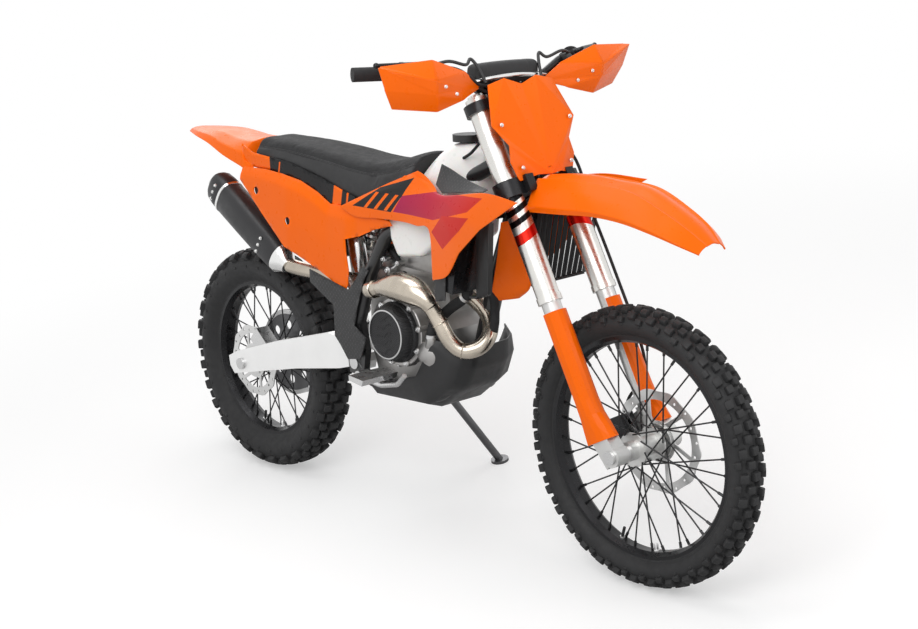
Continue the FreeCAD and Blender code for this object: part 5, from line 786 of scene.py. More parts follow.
SIDE_PANEL = ((72, 937), (180, 936), (262, 928), (345, 915), (420, 890), (476, 862), (533, 861),
              (600, 851), (668, 852), (742, 838), (752, 828), (680, 812), (610, 786), (556, 774),
              (560, 740), (567, 690), (562, 650), (553, 636), (500, 650), (430, 678), (308, 719),
              (281, 727), (175, 812), (69, 900))
HOLE_RADIUS = 11
PANEL_HOLES = [[(x + HOLE_RADIUS * c, z + HOLE_RADIUS * s) for c, s in circle(16)]
               for x, z in ((149, 874), (304, 801))]
SHROUD = (
    ((533, 125, 861), (601, 128, 840), (700, 132, 844), (808, 140, 846), (880, 155, 844),
     (941, 168, 841), (963, 182, 718)),
    ((560, 124, 870), (640, 128, 872), (740, 134, 880), (840, 145, 886), (930, 162, 876),
     (985, 180, 830), (1027, 192, 738)),
    ((596, 120, 884), (680, 124, 906), (770, 128, 925), (860, 138, 925), (960, 162, 905),
     (1030, 190, 865), (1085, 202, 803)),
    ((720, 116, 932), (790, 118, 950), (850, 122, 960), (920, 140, 935), (1000, 168, 918),
     (1090, 200, 895), (1175, 216, 870)),
    ((845, 112, 976), (880, 118, 966), (925, 130, 944), (965, 148, 926), (1060, 172, 938),
     (1184, 200, 956), (1316, 226, 948)),
)
HAND_GUARD = ((1074, 416, 1264), (1098, 277, 1271), (1088, 161, 1234), (1082, 133, 1196),
              (1122, 285, 1224), (1096, 176, 1172), (1117, 282, 1194), (1099, 268, 1151),
              (1066, 379, 1166), (1078, 408, 1212), (1090, 414, 1258))
GUARD_FACES = ((0, 1, 4), (1, 2, 4), (2, 3, 4), (0, 4, 10), (10, 4, 6), (4, 3, 6), (3, 5, 6),
               (10, 6, 9), (9, 6, 8), (6, 7, 8), (6, 5, 7))
TANK_GUARD = (
    ((925, 124, 948), (965, 140, 931), (1060, 162, 943), (1150, 178, 952)),
    ((930, 116, 976), (968, 128, 962), (1060, 150, 957), (1152, 170, 954)),
    ((937, 112, 1000), (975, 116, 990), (1060, 138, 970), (1155, 164, 957)),
)
FRONT_PANEL = (
    ((1078, 52, 856), (1104, 30, 862), (1124, 0, 866)),
    ((1058, 52, 760), (1088, 30, 765), (1124, 0, 770)),
    ((1040, 52, 690), (1072, 30, 686), (1118, 0, 684)),
    ((1030, 52, 648), (1046, 30, 650), (1080, 0, 655)),
)
SKID = (
    ((640, 0, 350), (640, 70, 350), (640, 116, 360), (640, 136, 386)),
    ((848, 0, 350), (848, 70, 350), (842, 112, 364), (828, 137, 440)),
    ((930, 0, 408), (930, 60, 408), (920, 102, 420), (868, 136, 500)),
    ((968, 0, 472), (966, 58, 474), (948, 100, 484), (888, 131, 530)),
    ((973, 0, 522), (970, 58, 524), (950, 92, 528), (896, 122, 542)),
)


def facets(name, points, faces, thick, body, material, slot, node=None, flip=False):
    """A moulded sheet of flat faces with rounded creases."""
    faces = [f[::-1] for f in faces] if flip else faces
    obj = mesh_piece(name, points, faces, body, material, slot=slot, node=node)
    round_edges(obj, 3.0, 3, 3).harden_normals = True
    thicken(obj, thick)


STRIP = ((62, 940), (64, 1000), (112, 978), (190, 971), (285, 962), (440, 928), (545, 900),
         (590, 890), (600, 851), (533, 858), (476, 859), (420, 888), (345, 912), (262, 925),
         (180, 933))


def top_line(x):
    """Height of the side panel's upper edge."""
    return float(np.interp(x, (72, 180, 262, 345, 420, 476, 600, 752),
                           (937, 936, 928, 915, 890, 862, 851, 830)))


def panel_depth(x, z):
    """Half width of the side panel, with a crease under its upper edge."""
    drop = top_line(x) - z
    top = float(np.interp(x, (72, 180, 345, 476, 600, 752), (110, 109, 110, 114, 122, 131)))
    full = float(np.interp(x, (72, 300, 560, 600, 752), (17, 28, 18, 8, 0)))
    return top + full * float(np.interp(drop, (0, 24, 34, 120, 200, 320),
                                        (0, 0.62, 0.7, 0.94, 1.0, 0.6)))


def strip_depth(x, _):
    """Half width of the strip between the side panel and the seat."""
    return float(np.interp(x, (62, 112, 285, 440, 600), (103, 102, 106, 110, 119)))


def fine_loop(corners, step):
    """A closed outline with a point at least every step."""
    out = []
    for (x0, z0), (x1, z1) in zip(corners, corners[1:] + corners[:1]):
        count = max(1, math.ceil(math.hypot(x1 - x0, z1 - z0) / step))
        for k in range(count):
            out.append((x0 + (x1 - x0) * k / count, z0 + (z1 - z0) * k / count))
    return out


def inside(point, loop):
    """Whether a closed outline goes round a point."""
    x, z = point
    hit = False
    for (x0, z0), (x1, z1) in zip(loop, loop[1:] + loop[:1]):
        if (z0 > z) != (z1 > z) and x < x0 + (z - z0) * (x1 - x0) / (z1 - z0):
            hit = not hit
    return hit


def sheet(name, outline, holes, depth, sign, thick, material, slot, node=None, step=9.0):
    """A moulded side sheet with a true outline and real holes; depth gives its half width."""
    loops = [fine_loop(list(loop), step) for loop in (outline, *holes)]
    points, edges = [], []
    for loop in loops:
        start = len(points)
        points.extend(loop)
        edges.extend((start + k, start + (k + 1) % len(loop)) for k in range(len(loop)))
    xs, zs = zip(*loops[0])
    border = np.array(points)
    for x in np.arange(min(xs), max(xs), step):
        for z in np.arange(min(zs), max(zs), step):
            if inside((x, z), loops[0]) and np.hypot(*(border - (x, z)).T).min() > step * 0.6:
                points.append((x, z))
    flat, _, found, *_ = delaunay_2d_cdt([Vector(p) for p in points], edges, [], 0, 1e-4)
    faces = []
    for face in found:
        middle = np.mean([flat[k] for k in face], axis=0)
        if inside(middle, loops[0]) and not any(inside(middle, h) for h in loops[1:]):
            face = list(face)
            (x0, z0), (x1, z1), (x2, z2) = (flat[k] for k in face)
            turn = (x1 - x0) * (z2 - z0) - (z1 - z0) * (x2 - x0)
            faces.append(face if (turn > 0) == (sign < 0) else face[::-1])
    places = [(x, sign * depth(x, z), z) for x, z in flat]
    thicken(mesh_piece(name, places, faces, "chassis", material, slot=slot, node=node), thick, 0.8, 60)


def dark_holes(side, sign):
    """Black discs just behind the side panel's two openings: painted shade for the dark inside seen
    through them.
    """
    pile = Pile()
    for hole in PANEL_HOLES:
        middle = np.mean(hole, axis=0)
        ring = [middle + (np.array(p) - middle) * 1.35 for p in hole]
        y = panel_depth(*middle) - 7
        front = [(p[0], sign * y, p[1]) for p in ring]
        back = [(p[0], sign * (y - 3), p[1]) for p in ring]
        n = len(ring)
        sides = [(k, (k + 1) % n, n + (k + 1) % n, n + k) for k in range(n)]
        pile.add(front + back, [range(n), range(2 * n - 1, n - 1, -1)] + sides)
    # black sheets standing in for the shade inside the openings, painted shade
    pile.make("painted_hole_shade_" + side, "chassis", MAT["black"], smooth=False, slot="black_plastic")


def both_halves(points, faces):
    """A half mesh, joined in the middle with its mirror image."""
    points = [tuple(p) for p in points]
    all_points, index = list(points), {}
    for i, (x, y, z) in enumerate(points):
        if y == 0:
            index[i] = i
        else:
            index[i] = len(all_points)
            all_points.append((x, -y, z))
    return all_points, list(faces) + [tuple(index[i] for i in reversed(f)) for f in faces]


def bodywork():
    """Every moulded panel, in both halves or from side to side."""
    orange, slot = MAT["orange"], "orange_plastic"
    for side, sign in SIDES:
        flip, first = sign > 0, side == "left"
        mirror = (1, sign, 1)
        shell("shroud_shell_" + side, surface(SHROUD, 8, 8, (2, 3)) * mirror, 2.5, "chassis",
              MAT["shroud"], slot, "shroud_" + side, not flip)
        sheet("side_panel_shell_" + side, SIDE_PANEL, PANEL_HOLES, panel_depth, sign, 2.5, orange,
              slot, "side_panel_" + side)
        dark_holes(side, sign)
        sheet("seat_strip_" + side, STRIP, (), strip_depth, sign, 2.5, MAT["strip"], slot)
        shell("tank_guard_shell_" + side, surface(TANK_GUARD, 8, 10, (1,), (1,)) * mirror, 2.5,
              "chassis", MAT["guard"], "black_plastic", "tank_guards" if first else None, not flip)
        facets("hand_guard_" + side, np.array(HAND_GUARD, float) * mirror, GUARD_FACES, 3, "steering",
               orange, slot, "hand_guards" if first else None, flip)
    shell("rear_fender_shell", surface(whole(REAR_FENDER), 8, 8, (1, 2), (1, 2, 4, 5)), 3, "chassis",
          orange, slot, "rear_fender", True)
    shell("front_fender_shell", surface(whole(FRONT_FENDER), 8, 6, (), (1, 3, 4, 6, 7, 9)), 3,
          "steering", orange, slot, "front_fender", True)
    points, faces = both_halves(PLATE_POINTS, PLATE_FACES)
    facets("number_plate_shell", points, faces, 3, "steering", orange, slot, "number_plate")
    grid = surface(whole([row[::-1] for row in SKID]), 6, 4, (1, 2, 3), (1, 2, 4, 5))
    shell("skid_plate_shell", grid, 4, "chassis", MAT["skid"], "black_plastic", "skid_plate", True)
    shell("front_panel_shell", surface(whole(FRONT_PANEL), 8, 8, (), (1, 3)), 2.5, "chassis", orange,
          slot, "front_panel", True)


bodywork()

# Tank and seat

TANK = sections((
    (716, (0, 882), (60, 878), (84, 870), (90, 860), (88, 850), (80, 846), (74, 850), (0, 850)),
    (770, (0, 930), (50, 924), (84, 905), (96, 880), (94, 860), (80, 856), (74, 860), (0, 860)),
    (830, (0, 1000), (44, 992), (88, 950), (104, 910), (98, 870), (84, 866), (74, 870), (0, 870)),
    (880, (0, 1036), (44, 1026), (92, 976), (108, 920), (102, 880), (84, 876), (74, 880), (0, 880)),
    (955, (0, 1040), (44, 1030), (86, 975), (100, 920), (94, 880), (80, 876), (70, 880), (0, 880)),
    (1010, (0, 1014), (26, 1004), (54, 965), (62, 920), (50, 880), (40, 878), (34, 880), (0, 880)),
))
TANK_LOBE = ((748, 742), (842, 752), (900, 790), (916, 900), (760, 900), (716, 862), (722, 790))
SEAT = sections((
    (76, (0, 1010), (26, 1008), (44, 999), (48, 974), (0, 972)),
    (112, (0, 1016), (60, 1012), (84, 990), (92, 964), (0, 962)),
    (285, (0, 1008), (70, 1003), (92, 984), (102, 950), (0, 946)),
    (440, (0, 993), (80, 988), (98, 968), (106, 914), (0, 912)),
    (545, (0, 982), (84, 976), (102, 955), (112, 882), (0, 880)),
    (640, (0, 979), (84, 972), (102, 948), (116, 882), (0, 880)),
    (720, (0, 992), (80, 984), (102, 958), (112, 906), (0, 905)),
    (806, (0, 1020), (60, 1012), (92, 990), (104, 962), (0, 960)),
))


def closed_form(table, per_row, per_column, shrink=0.0, sharp_rows=()):
    """Points and faces of a closed form through half sections, with fans over its ends."""
    rows = [np.vstack([row, (row * (1, -1, 1))[::-1][1:]]) for row in np.asarray(table, float)]
    grid = refine(np.array(rows), per_row, sharp_rows)
    grid = np.array([smooth_line(ring[:-1], per_column, closed=True) for ring in grid])
    middle = grid.mean(axis=1, keepdims=True)
    if shrink:
        away = grid - middle
        grid = middle + away * (1 - shrink / np.linalg.norm(away, axis=2, keepdims=True))
    n, m = grid.shape[:2]
    faces = ring_faces(n, m)
    points = grid.reshape(-1, 3).tolist()
    for end in (0, n - 1):
        points.append(grid[end].mean(axis=0).tolist())
        hub, first = len(points) - 1, end * m
        for k in range(m):
            face = [first + (k + 1) % m, first + k, hub]
            faces.append(face if end == 0 else face[::-1])
    return points, faces


def voxels(obj, size):
    """Make a mesh again from even cells."""
    remesh = obj.modifiers.new("voxels", "REMESH")
    remesh.mode = "VOXEL"
    remesh.voxel_size = size
    apply_all(obj)


def finer(obj):
    """Divide every face once, smoothly."""
    subdivide = obj.modifiers.new("finer", "SUBSURF")
    subdivide.levels = subdivide.render_levels = 1


def vertex_rows(mesh, kind):
    """Each vertex's place or normal, as rows of three numbers."""
    values = np.empty(len(mesh.vertices) * 3)
    mesh.vertices.foreach_get(kind, values)
    return values.reshape(-1, 3)


def inflate(obj, cap):
    """Swell a padded form with Blender's cloth, and cap how far any point moves."""
    scene = bpy.context.scene
    bpy.context.view_layer.objects.active = obj
    voxels(obj, 0.005)
    start = vertex_rows(obj.data, "co")
    cloth = obj.modifiers.new("cloth", "CLOTH")
    settings = cloth.settings
    settings.use_pressure = True
    settings.uniform_pressure_force = 4.0
    settings.quality = 5
    settings.tension_stiffness = settings.compression_stiffness = 25
    settings.effector_weights.gravity = 0
    cloth.collision_settings.use_collision = False
    for step in range(1, 21):
        scene.frame_set(step)
    graph = bpy.context.evaluated_depsgraph_get()
    move = vertex_rows(obj.evaluated_get(graph).data, "co") - start
    scene.frame_set(1)
    obj.modifiers.remove(cloth)
    length = np.linalg.norm(move, axis=1, keepdims=True)
    move *= np.minimum(1.0, cap / np.maximum(length, 1e-9))
    obj.data.vertices.foreach_set("co", (start + move).ravel())
    obj.data.update()


def apply_all(obj):
    """Turn what the modifiers make into the mesh itself."""
    graph = bpy.context.evaluated_depsgraph_get()
    mesh = bpy.data.meshes.new_from_object(obj.evaluated_get(graph))
    obj.modifiers.clear()
    old = obj.data
    obj.data = mesh
    bpy.data.meshes.remove(old)


def press_seams(obj, lines, depth, width):
    """Sink a narrow channel into a mesh along some lines, given in bike millimetres."""
    points, normals = vertex_rows(obj.data, "co"), vertex_rows(obj.data, "normal")
    near = np.full(len(points), 1e9)
    for line in lines:
        line = at(line)
        for a, b in zip(line, line[1:]):
            way = b - a
            share = np.clip(((points - a) @ way) / (way @ way), 0, 1)
            gap = np.linalg.norm(points - (a + share[:, None] * way), axis=1)
            near = np.minimum(near, gap)
    sink = depth * MM * np.exp(-(near / (width * MM)) ** 2)
    obj.data.vertices.foreach_set("co", (points - normals * sink[:, None]).ravel())
    obj.data.update()


def on_surface(obj, points, lift):
    """Points moved onto a mesh, and a little off it, in metres."""
    found = [obj.closest_point_on_mesh(Vector(p)) for p in at(points)]
    return np.array([place + normal * lift * MM for _, place, normal, _ in found])


def to_bike(points):
    """Metres of the model to millimetres of the upright bike."""
    return (np.asarray(points, float) - BASE) @ TURN / MM


def seat():
    """The seat: a swollen cushion with a grippy top, sewn along its shoulders."""
    points, faces = closed_form(SEAT, 8, 8, 3.5, (1,))
    obj = mesh_piece("seat_cushion", points, faces, "chassis", MAT["seat"], slot="seat_cover",
                     node="seat")
    inflate(obj, 0.005)
    seam = smooth_line(np.array([row[2] for row in SEAT[1:]], float) + (0, -3, 4), 10)
    finer(obj)
    apply_all(obj)
    seams = [seam * (1, sign, 1) for sign in (1, -1)]
    press_seams(obj, seams, 2.2, 3.0)
    grip_top(obj)
    thread = Pile()
    stitch, pitch, beside = 4.4, 6.5, 3.4
    for line in seams:
        for shift in (-beside, beside):
            row = line + (0, -math.copysign(shift, line[0][1]) * 0.8, shift * 0.5)
            steps = np.concatenate([[0], np.cumsum(np.linalg.norm(np.diff(row, axis=0), axis=1))])
            for start in np.arange(6, steps[-1] - 10, pitch):
                ends = [[np.interp(d, steps, row[:, k]) for k in range(3)]
                        for d in (start, start + stitch / 2, start + stitch)]
                tube(thread, to_bike(on_surface(obj, ends, 0.15)), 0.55, 5)
    thread.make("seat_stitches", "chassis", MAT["thread"], slot="seat_cover")
    obj.data.shade_smooth()


def grip_top(obj):
    """The faces of the seat's top take the grippy cover."""
    obj.data.materials.append(MAT["seat_top"])
    xs = [row[0][0] for row in SEAT]
    edge = [row[2][1] - 5 for row in SEAT]
    for face in obj.data.polygons:
        x, y, _ = to_bike([face.center])[0]
        up = (np.array(face.normal) @ TURN)[2]
        if up > 0.35 and abs(y) < np.interp(x, xs, edge):
            face.material_index = 1


def tank():
    """The tank with a lobe on each side, down to the cylinder."""
    points, faces = closed_form(TANK, 6, 4)
    finer(mesh_piece("tank_shell", points, faces, "chassis", MAT["tank"], slot="white_tank",
                     node="fuel_tank"))
    for side, sign in SIDES:
        slab("tank_lobe_" + side, TANK_LOBE, sign * 78, sign * 117, 13, MAT["tank"], "white_tank")


def slab(name, outline, start, end, edge, material, slot):
    """A side outline swept across the bike, with well rounded edges."""
    n = len(outline)
    points = [(x, y, z) for y in (start, end) for x, z in outline]
    faces = [tuple(range(n)), tuple(reversed(range(n, 2 * n)))]
    faces += [(k, n + k, n + (k + 1) % n, (k + 1) % n) for k in range(n)]
    if end > start:
        faces = [f[::-1] for f in faces]
    obj = mesh_piece(name, points, faces, "chassis", material, slot=slot)
    round_edges(obj, edge, 20, 4).harden_normals = True


seat()
tank()

# Engine, exhaust and shock

LEFT, RIGHT = np.array((0, 1.0, 0)), np.array((0, -1.0, 0))

HEADER = ((880, -8, 652), (918, -8, 636), (962, -10, 612), (996, -22, 582), (1010, -46, 550),
          (1000, -74, 527), (970, -98, 521), (943, -116, 545), (923, -130, 592), (904, -140, 632))
RESONATOR = ((904, -140, 632, 21), (890, -145, 650, 26), (866, -148, 664, 34), (836, -150, 672, 38),
             (795, -149, 675, 38), (755, -147, 671, 33), (722, -146, 665, 25), (709, -145, 663, 22))
MIDPIPE = ((709, -145, 663), (660, -138, 648), (620, -112, 642), (560, -84, 645), (480, -76, 648),
           (380, -80, 652), (290, -86, 655), (240, -88, 660))
CAN_BACK, CAN_FRONT = np.array((-94.0, -92, 874)), np.array((236.0, -92, 660))
CAN_WAY = (CAN_FRONT - CAN_BACK) / np.linalg.norm(CAN_FRONT - CAN_BACK)
GUARD_PLATE = ((400, 676), (567, 637), (600, 668), (632, 708), (658, 700), (634, 670), (602, 592),
               (585, 540), (633, 513), (617, 475), (603, 450), (550, 442), (519, 480), (498, 500),
               (500, 586), (400, 640))
FLAP = ((950, 740), (996, 740), (990, 667), (954, 660))


def oval_loft(pile, rows, sides=56, power=2.7):
    """Rounded sections along the silencer's axis: rows are (along, half width, half height)."""
    up = -np.cross(CAN_WAY, LEFT)
    up = up if up[2] > 0 else -up
    oval = [[math.copysign(abs(v) ** (2 / power), v) for v in pair] for pair in circle(sides)]
    points = [CAN_BACK + CAN_WAY * along + np.array((0, wide * c, 0)) + up * tall * s
              for along, wide, tall in rows for c, s in oval]
    pile.add(points, ring_faces(len(rows), sides, True, True))


def exhaust():
    """Header with its welds, swollen resonator, pipe and an oval silencer with an end cap."""
    pile = Pile()
    header, middle = smooth_line(HEADER, 8), smooth_line(MIDPIPE, 8)
    swollen = smooth_line(RESONATOR, 6)
    tube(pile, header, 20.5, 28)
    tube(pile, swollen[:, :3], swollen[:, 3], 32)
    tube(pile, middle, 21, 28)
    for line, spot in ((header, 48), (header, 64), (swollen[:, :3], 37)):
        way = line[spot + 1] - line[spot - 1]
        way = way / np.linalg.norm(way)
        turned(pile, line[spot] - way * 2, way, [(0, 20), (0.5, 22), (2, 23), (3.5, 22), (4, 20)])
    turned(pile, middle[6], (-0.95, 0.2, -0.2), [(-16, 21), (-14, 24), (10, 24), (12, 21)])
    pile.make("exhaust_pipe", "chassis", MAT["header"], sharp=40, slot="stainless",
              node="header_pipe")
    can = Pile()
    oval_loft(can, [(2, 18, 26), (0, 24, 33), (4, 32, 42), (16, 38, 48), (40, 41, 51), (62, 42, 52),
                    (64, 41, 51), (72, 41, 51), (74, 42, 52), (180, 41, 51), (300, 39, 49),
                    (352, 36, 46), (366, 32, 42), (368, 28, 36)])
    can.make("silencer_can", "chassis", MAT["can"], sharp=32, slot="black_can", node="silencer")
    trim = Pile()
    oval_loft(trim, [(63, 41, 51), (64, 43, 53), (72, 43, 53), (73, 41, 51)])
    oval_loft(trim, [(352, 36, 46), (354, 38, 48), (366, 37, 47), (388, 26, 28), (396, 22, 23)],
              power=2.2)
    turned(trim, CAN_BACK, -CAN_WAY, [(-6, 24), (8, 24), (9, 22), (9, 18), (-4, 18)], 28)
    for share in (0.1, 0.74):
        spot = CAN_BACK + (CAN_FRONT - CAN_BACK) * share
        for up in (-22, 2, 26):
            place = spot + np.array((0.55 * up, -40.0 + abs(up) * 0.06, 0.83 * up))
            socket_bolt(trim, place, RIGHT, 4)
    trim.make("silencer_trim", "chassis", MAT["satin"], sharp=35, slot="alloy")
    dark = Pile()
    turned(dark, CAN_BACK - CAN_WAY, -CAN_WAY, [(0, 18), (1, 18), (1, 0)], 24)
    dark.make("silencer_outlet", "chassis", MAT["rubber"], slot="black_can")


def clutch_side():
    """The right engine side: clutch cover, its bolts, the water pump with its hoses."""
    centre, pump = np.array((757.0, -118, 547)), np.array((862.0, -108, 500))
    cover, bright, cast, dark = Pile(), Pile(), Pile(), Pile()
    turned(cover, centre, RIGHT, [(0, 82), (22, 82), (26, 80), (28, 77), (40, 75), (52, 71), (57, 67),
                                  (58, 62), (56, 60), (56, 0)], 72)
    x, y = centre[0], -174.5
    for rise in (-44, -22, 0, 22, 44):
        z, half = centre[2] + rise, math.sqrt(60 ** 2 - rise ** 2) - 5
        tube(cover, [(x - half * 0.7, y, z - 8), (x - 8, y, z - 8), (x + 6, y, z + 6),
                     (x + half * 0.4, y, z + 6)], 1.1, 6)
    cover.make("clutch_cover_dressed", "chassis", MAT["clutch"], sharp=35, slot="black_alloy",
               node="clutch_cover")
    turned(bright, centre + RIGHT * 55, RIGHT, [(0, 66), (3.6, 66), (4.2, 65), (4.2, 62.5), (0, 62)],
           72)
    for spot in around(centre, 87, 9, 12):
        turned(cast, spot - RIGHT * 12, RIGHT, [(0, 9), (30, 9), (32, 7.5), (32, 0)], 18)
        bolt(bright, spot + RIGHT * 20, RIGHT, 5.5)
    turned(cast, centre - RIGHT * 14, RIGHT, [(0, 93), (26, 93), (28, 91), (28, 80)], 72)
    turned(cast, pump, RIGHT, [(0, 34), (20, 34), (24, 31), (30, 20), (34, 10), (34, 0)], 36)
    tube(cast, smooth_line([pump + (10, -16, 22), pump + (22, -20, 40), pump + (20, -18, 56)], 6),
         13, 18)
    for spot in around(pump, 33, 5, 20):
        bolt(bright, spot + RIGHT * 14, RIGHT, 4.5)
    tube(dark, smooth_line([pump + (20, -18, 50), (890, -122, 580), (918, -96, 620),
                            (985, -96, 664), (1000, -96, 700)], 8), 14, 18)
    for spot, way in ((pump + (20, -18, 52), (0.1, 0, 1.0)), ((985, -96, 664), (0.8, 0, 0.6))):
        turned(bright, spot, way, [(-5, 14), (-5, 15.5), (5, 15.5), (5, 14)], 28)
    tube(dark, smooth_line([(1004, -84, 700), (1030, -44, 664), (1032, -40, 604), (1012, -30, 560)],
                           8), 12, 18)
    for x, z, radius in ((840, 440, 6), (700, 440, 6), (812, 610, 6), (880, 560, 5), (664, 600, 6)):
        bolt(bright, (x, -84, z), RIGHT, radius)
    cast.make("engine_side", "chassis", MAT["cast"], sharp=35, slot="cast_alloy")
    bright.make("engine_bolts", "chassis", MAT["steel"], sharp=35, slot="steel")
    dark.make("coolant_hoses", "chassis", MAT["rubber"], slot="black_rubber")


def behind_engine():
    """Intake pipes, the starter's round bodies, a breather hose and the gearbox's case."""
    cast, bright, dark = Pile(), Pile(), Pile()
    for y in (-46, 46):
        tube(cast, smooth_line([(640, y, 590), (668, y, 640), (700, y * 0.8, 680)], 6), 20, 18)
    turned(cast, (690, -78, 650), LEFT, rounded(156, 34, 8))
    turned(cast, (650, -66, 700), LEFT, rounded(132, 26, 6), 28)
    for x, z, radius, y in ((681, 729, 8, -96), (646, 703, 9, -98), (695, 700, 10, -94),
                            (730, 722, 7, -90)):
        turned(bright, (x, y + 14, z), RIGHT, rounded(26, radius, 2), 22)
        socket_bolt(bright, (x, y - 11, z), RIGHT, radius * 0.6)
    tube(bright, smooth_line([(646, -92, 703), (690, -92, 700), (730, -90, 722)], 6), 5, 12)
    tube(dark, smooth_line([(668, -70, 750), (720, -64, 700), (760, -70, 660)], 6), 9, 14)
    slab("gearbox_case", ((556, 510), (560, 640), (610, 704), (720, 704), (720, 480)), -64, 58, 14,
         MAT["cast"], "cast_alloy")
    cast.make("starter_bodies", "chassis", MAT["cast"], sharp=35, slot="cast_alloy")
    bright.make("starter_bolts", "chassis", MAT["steel"], sharp=35, slot="steel")
    dark.make("breather_hose", "chassis", MAT["rubber"], slot="black_rubber")


def shock():
    """Damper, spring and reservoir."""
    low, high = np.array((408.0, -8, 475.9)), np.array((556.0, -8, 837.7))
    length = float(np.linalg.norm(high - low))
    way, u, v = across(high - low)
    body, coil = Pile(), Pile()
    turned(body, low, way, [(0, 0), (0, 9), (70, 9), (72, 20), (length - 86, 24), (length - 70, 40),
                            (length - 62, 40), (length - 58, 26), (length - 8, 26), (length, 14),
                            (length, 0)])
    for end in (low, high):
        turned(body, end + RIGHT * 16, LEFT, rounded(32, 20, 2), 28)
    turned(body, low + way * 46, way, [(0, 12), (0, 40), (6, 40), (8, 12)])
    rod(body, (513, -60, 767), (526, -60, 668), 26, 5, 36)
    turns, steps, radius, first, last = 8.5, 24, 33, 56, length - 92
    line = []
    for k in range(int(turns * steps) + 1):
        a = 2 * math.pi * k / steps
        line.append(low + way * (first + (last - first) * k / (turns * steps))
                    + radius * (math.cos(a) * u + math.sin(a) * v))
    tube(coil, line, 5.5)
    body.make("damper", "chassis", MAT["satin"], sharp=35, slot="alloy", node="shock")
    coil.make("spring_coil", "chassis", MAT["white"], slot="damper")


def side_guards():
    """Dotted guards beside the frame, and flaps below the shrouds."""
    for side, sign in SIDES:
        sheet("frame_guard_" + side, GUARD_PLATE, (), lambda x, z: 141.0, sign, 3, MAT["guard"],
              "black_plastic", "frame_guards" if side == "left" else None)
        sheet("shroud_flap_" + side, FLAP, (), lambda x, z: 170.0, sign, 2.5, MAT["black"],
              "black_plastic")


exhaust()
clutch_side()
behind_engine()
shock()
side_guards()

# Handlebar

def bar_pad():
    """A soft sleeve of foam over the bar's middle, with sewn channels near its ends."""
    centre, half, sides = np.array((1050.0, 0, 1222)), 106, 40
    deep, tall, seam_at, round_end = 24, 27, 70, 16
    square = [[math.copysign(abs(v) ** 0.6, v) for v in pair] for pair in circle(sides)]
    points, rows = [], np.linspace(-half, half, 49)
    for y in rows:
        edge = max(0.0, (abs(y) - half + round_end) / round_end)
        seam = math.exp(-((abs(y) - seam_at) / 2.5) ** 2)
        grow = math.sqrt(max(0.0, 1 - edge * edge)) * 0.35 + 0.65 - 0.06 * seam
        grow *= 1 + 0.04 * math.cos(math.pi * y / 140)
        points.extend(centre + (deep * grow * c, y, tall * grow * s) for c, s in square)
    obj = mesh_piece("bar_pad_sleeve", points, ring_faces(len(rows), sides, False, True), "steering",
                     MAT["seat"], slot="black_rubber", sharp=50, node="bar_pad")


CABLE = ((1052, 212, 1230), (1066, 170, 1214), (1078, 104, 1190), (1086, 56, 1150),
         (1050, 62, 1080), (1000, 66, 1030), (960, 60, 1010))
LOOP = ((1046, 250, 1250), (1064, 196, 1262), (1066, 140, 1250), (1060, 118, 1262),
        (1072, 104, 1240), (1088, 96, 1204))


def controls():
    """Silver brace, switch bodies, hose loops, cables, and the bolts of clamps and guards."""
    bright, dark = Pile(), Pile()
    tube(bright, smooth_line([(1066, -132, 1206), (1078, -66, 1213), (1084, 0, 1216),
                              (1078, 66, 1213), (1066, 132, 1206)], 8), 5.5, 16)
    ahead = np.array((1.0, 0, 0))
    for sign in (1, -1):
        mirror = np.array((1, sign, 1))
        for up in (12, -12):
            socket_bolt(bright, steer(30, sign * 100, 899 + up), STEER_OUT, 5)
        rod(bright, (1040, sign * 60, 1196), (1040, sign * 60, 1206), 7, 1, 6)
        rod(dark, (1050, sign * 236, 1236), (1052, sign * 212, 1234), 19, 3, 28)
        turned(bright, steer(0, sign * 100, 912), STEER_UP,
               [(0, 0), (0, 20), (3, 20), (4, 17), (4, 9), (9, 9), (9, 0)], 28)
        tube(dark, smooth_line(LOOP * mirror, 8), 4)
        outer, inner = np.array(HAND_GUARD[4]) * mirror, np.array(HAND_GUARD[5]) * mirror
        for share in (0.3, 0.7):
            socket_bolt(bright, outer * (1 - share) + inner * share + (2, 0, 0), ahead, 3.5)
        for spot in ((1160, 118, 1108), (1194, 84, 1004)):
            socket_bolt(bright, spot * mirror, ahead, 4)
    bright.make("bar_brace", "steering", MAT["satin"], sharp=35, slot="alloy")
    dark.make("switch_bodies", "steering", MAT["black"], sharp=35, slot="black_plastic")
    for name, sign in (("throttle_cable", -1), ("clutch_line", 1)):
        line = CABLE * np.array((1, sign, 1))
        pile = Pile()
        tube(pile, smooth_line(line, 14), 4)
        obj = pile.make(name, None, MAT["rubber"], slot="black_rubber")
        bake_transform(obj)


bar_pad()
controls()

# Floor, light and camera

FLOOR_GLOW, WORLD_LIGHT = 0.4, 0.4


def ray_kinds(tree, names):
    """A socket that is 1 for the named kinds of ray."""
    path = tree.nodes.new("ShaderNodeLightPath")
    rays = path.outputs[names[0]]
    for name in names[1:]:
        larger = tree.nodes.new("ShaderNodeMath")
        larger.operation = "MAXIMUM"
        tree.links.new(rays, larger.inputs[0])
        tree.links.new(path.outputs[name], larger.inputs[1])
        rays = larger.outputs[0]
    return rays


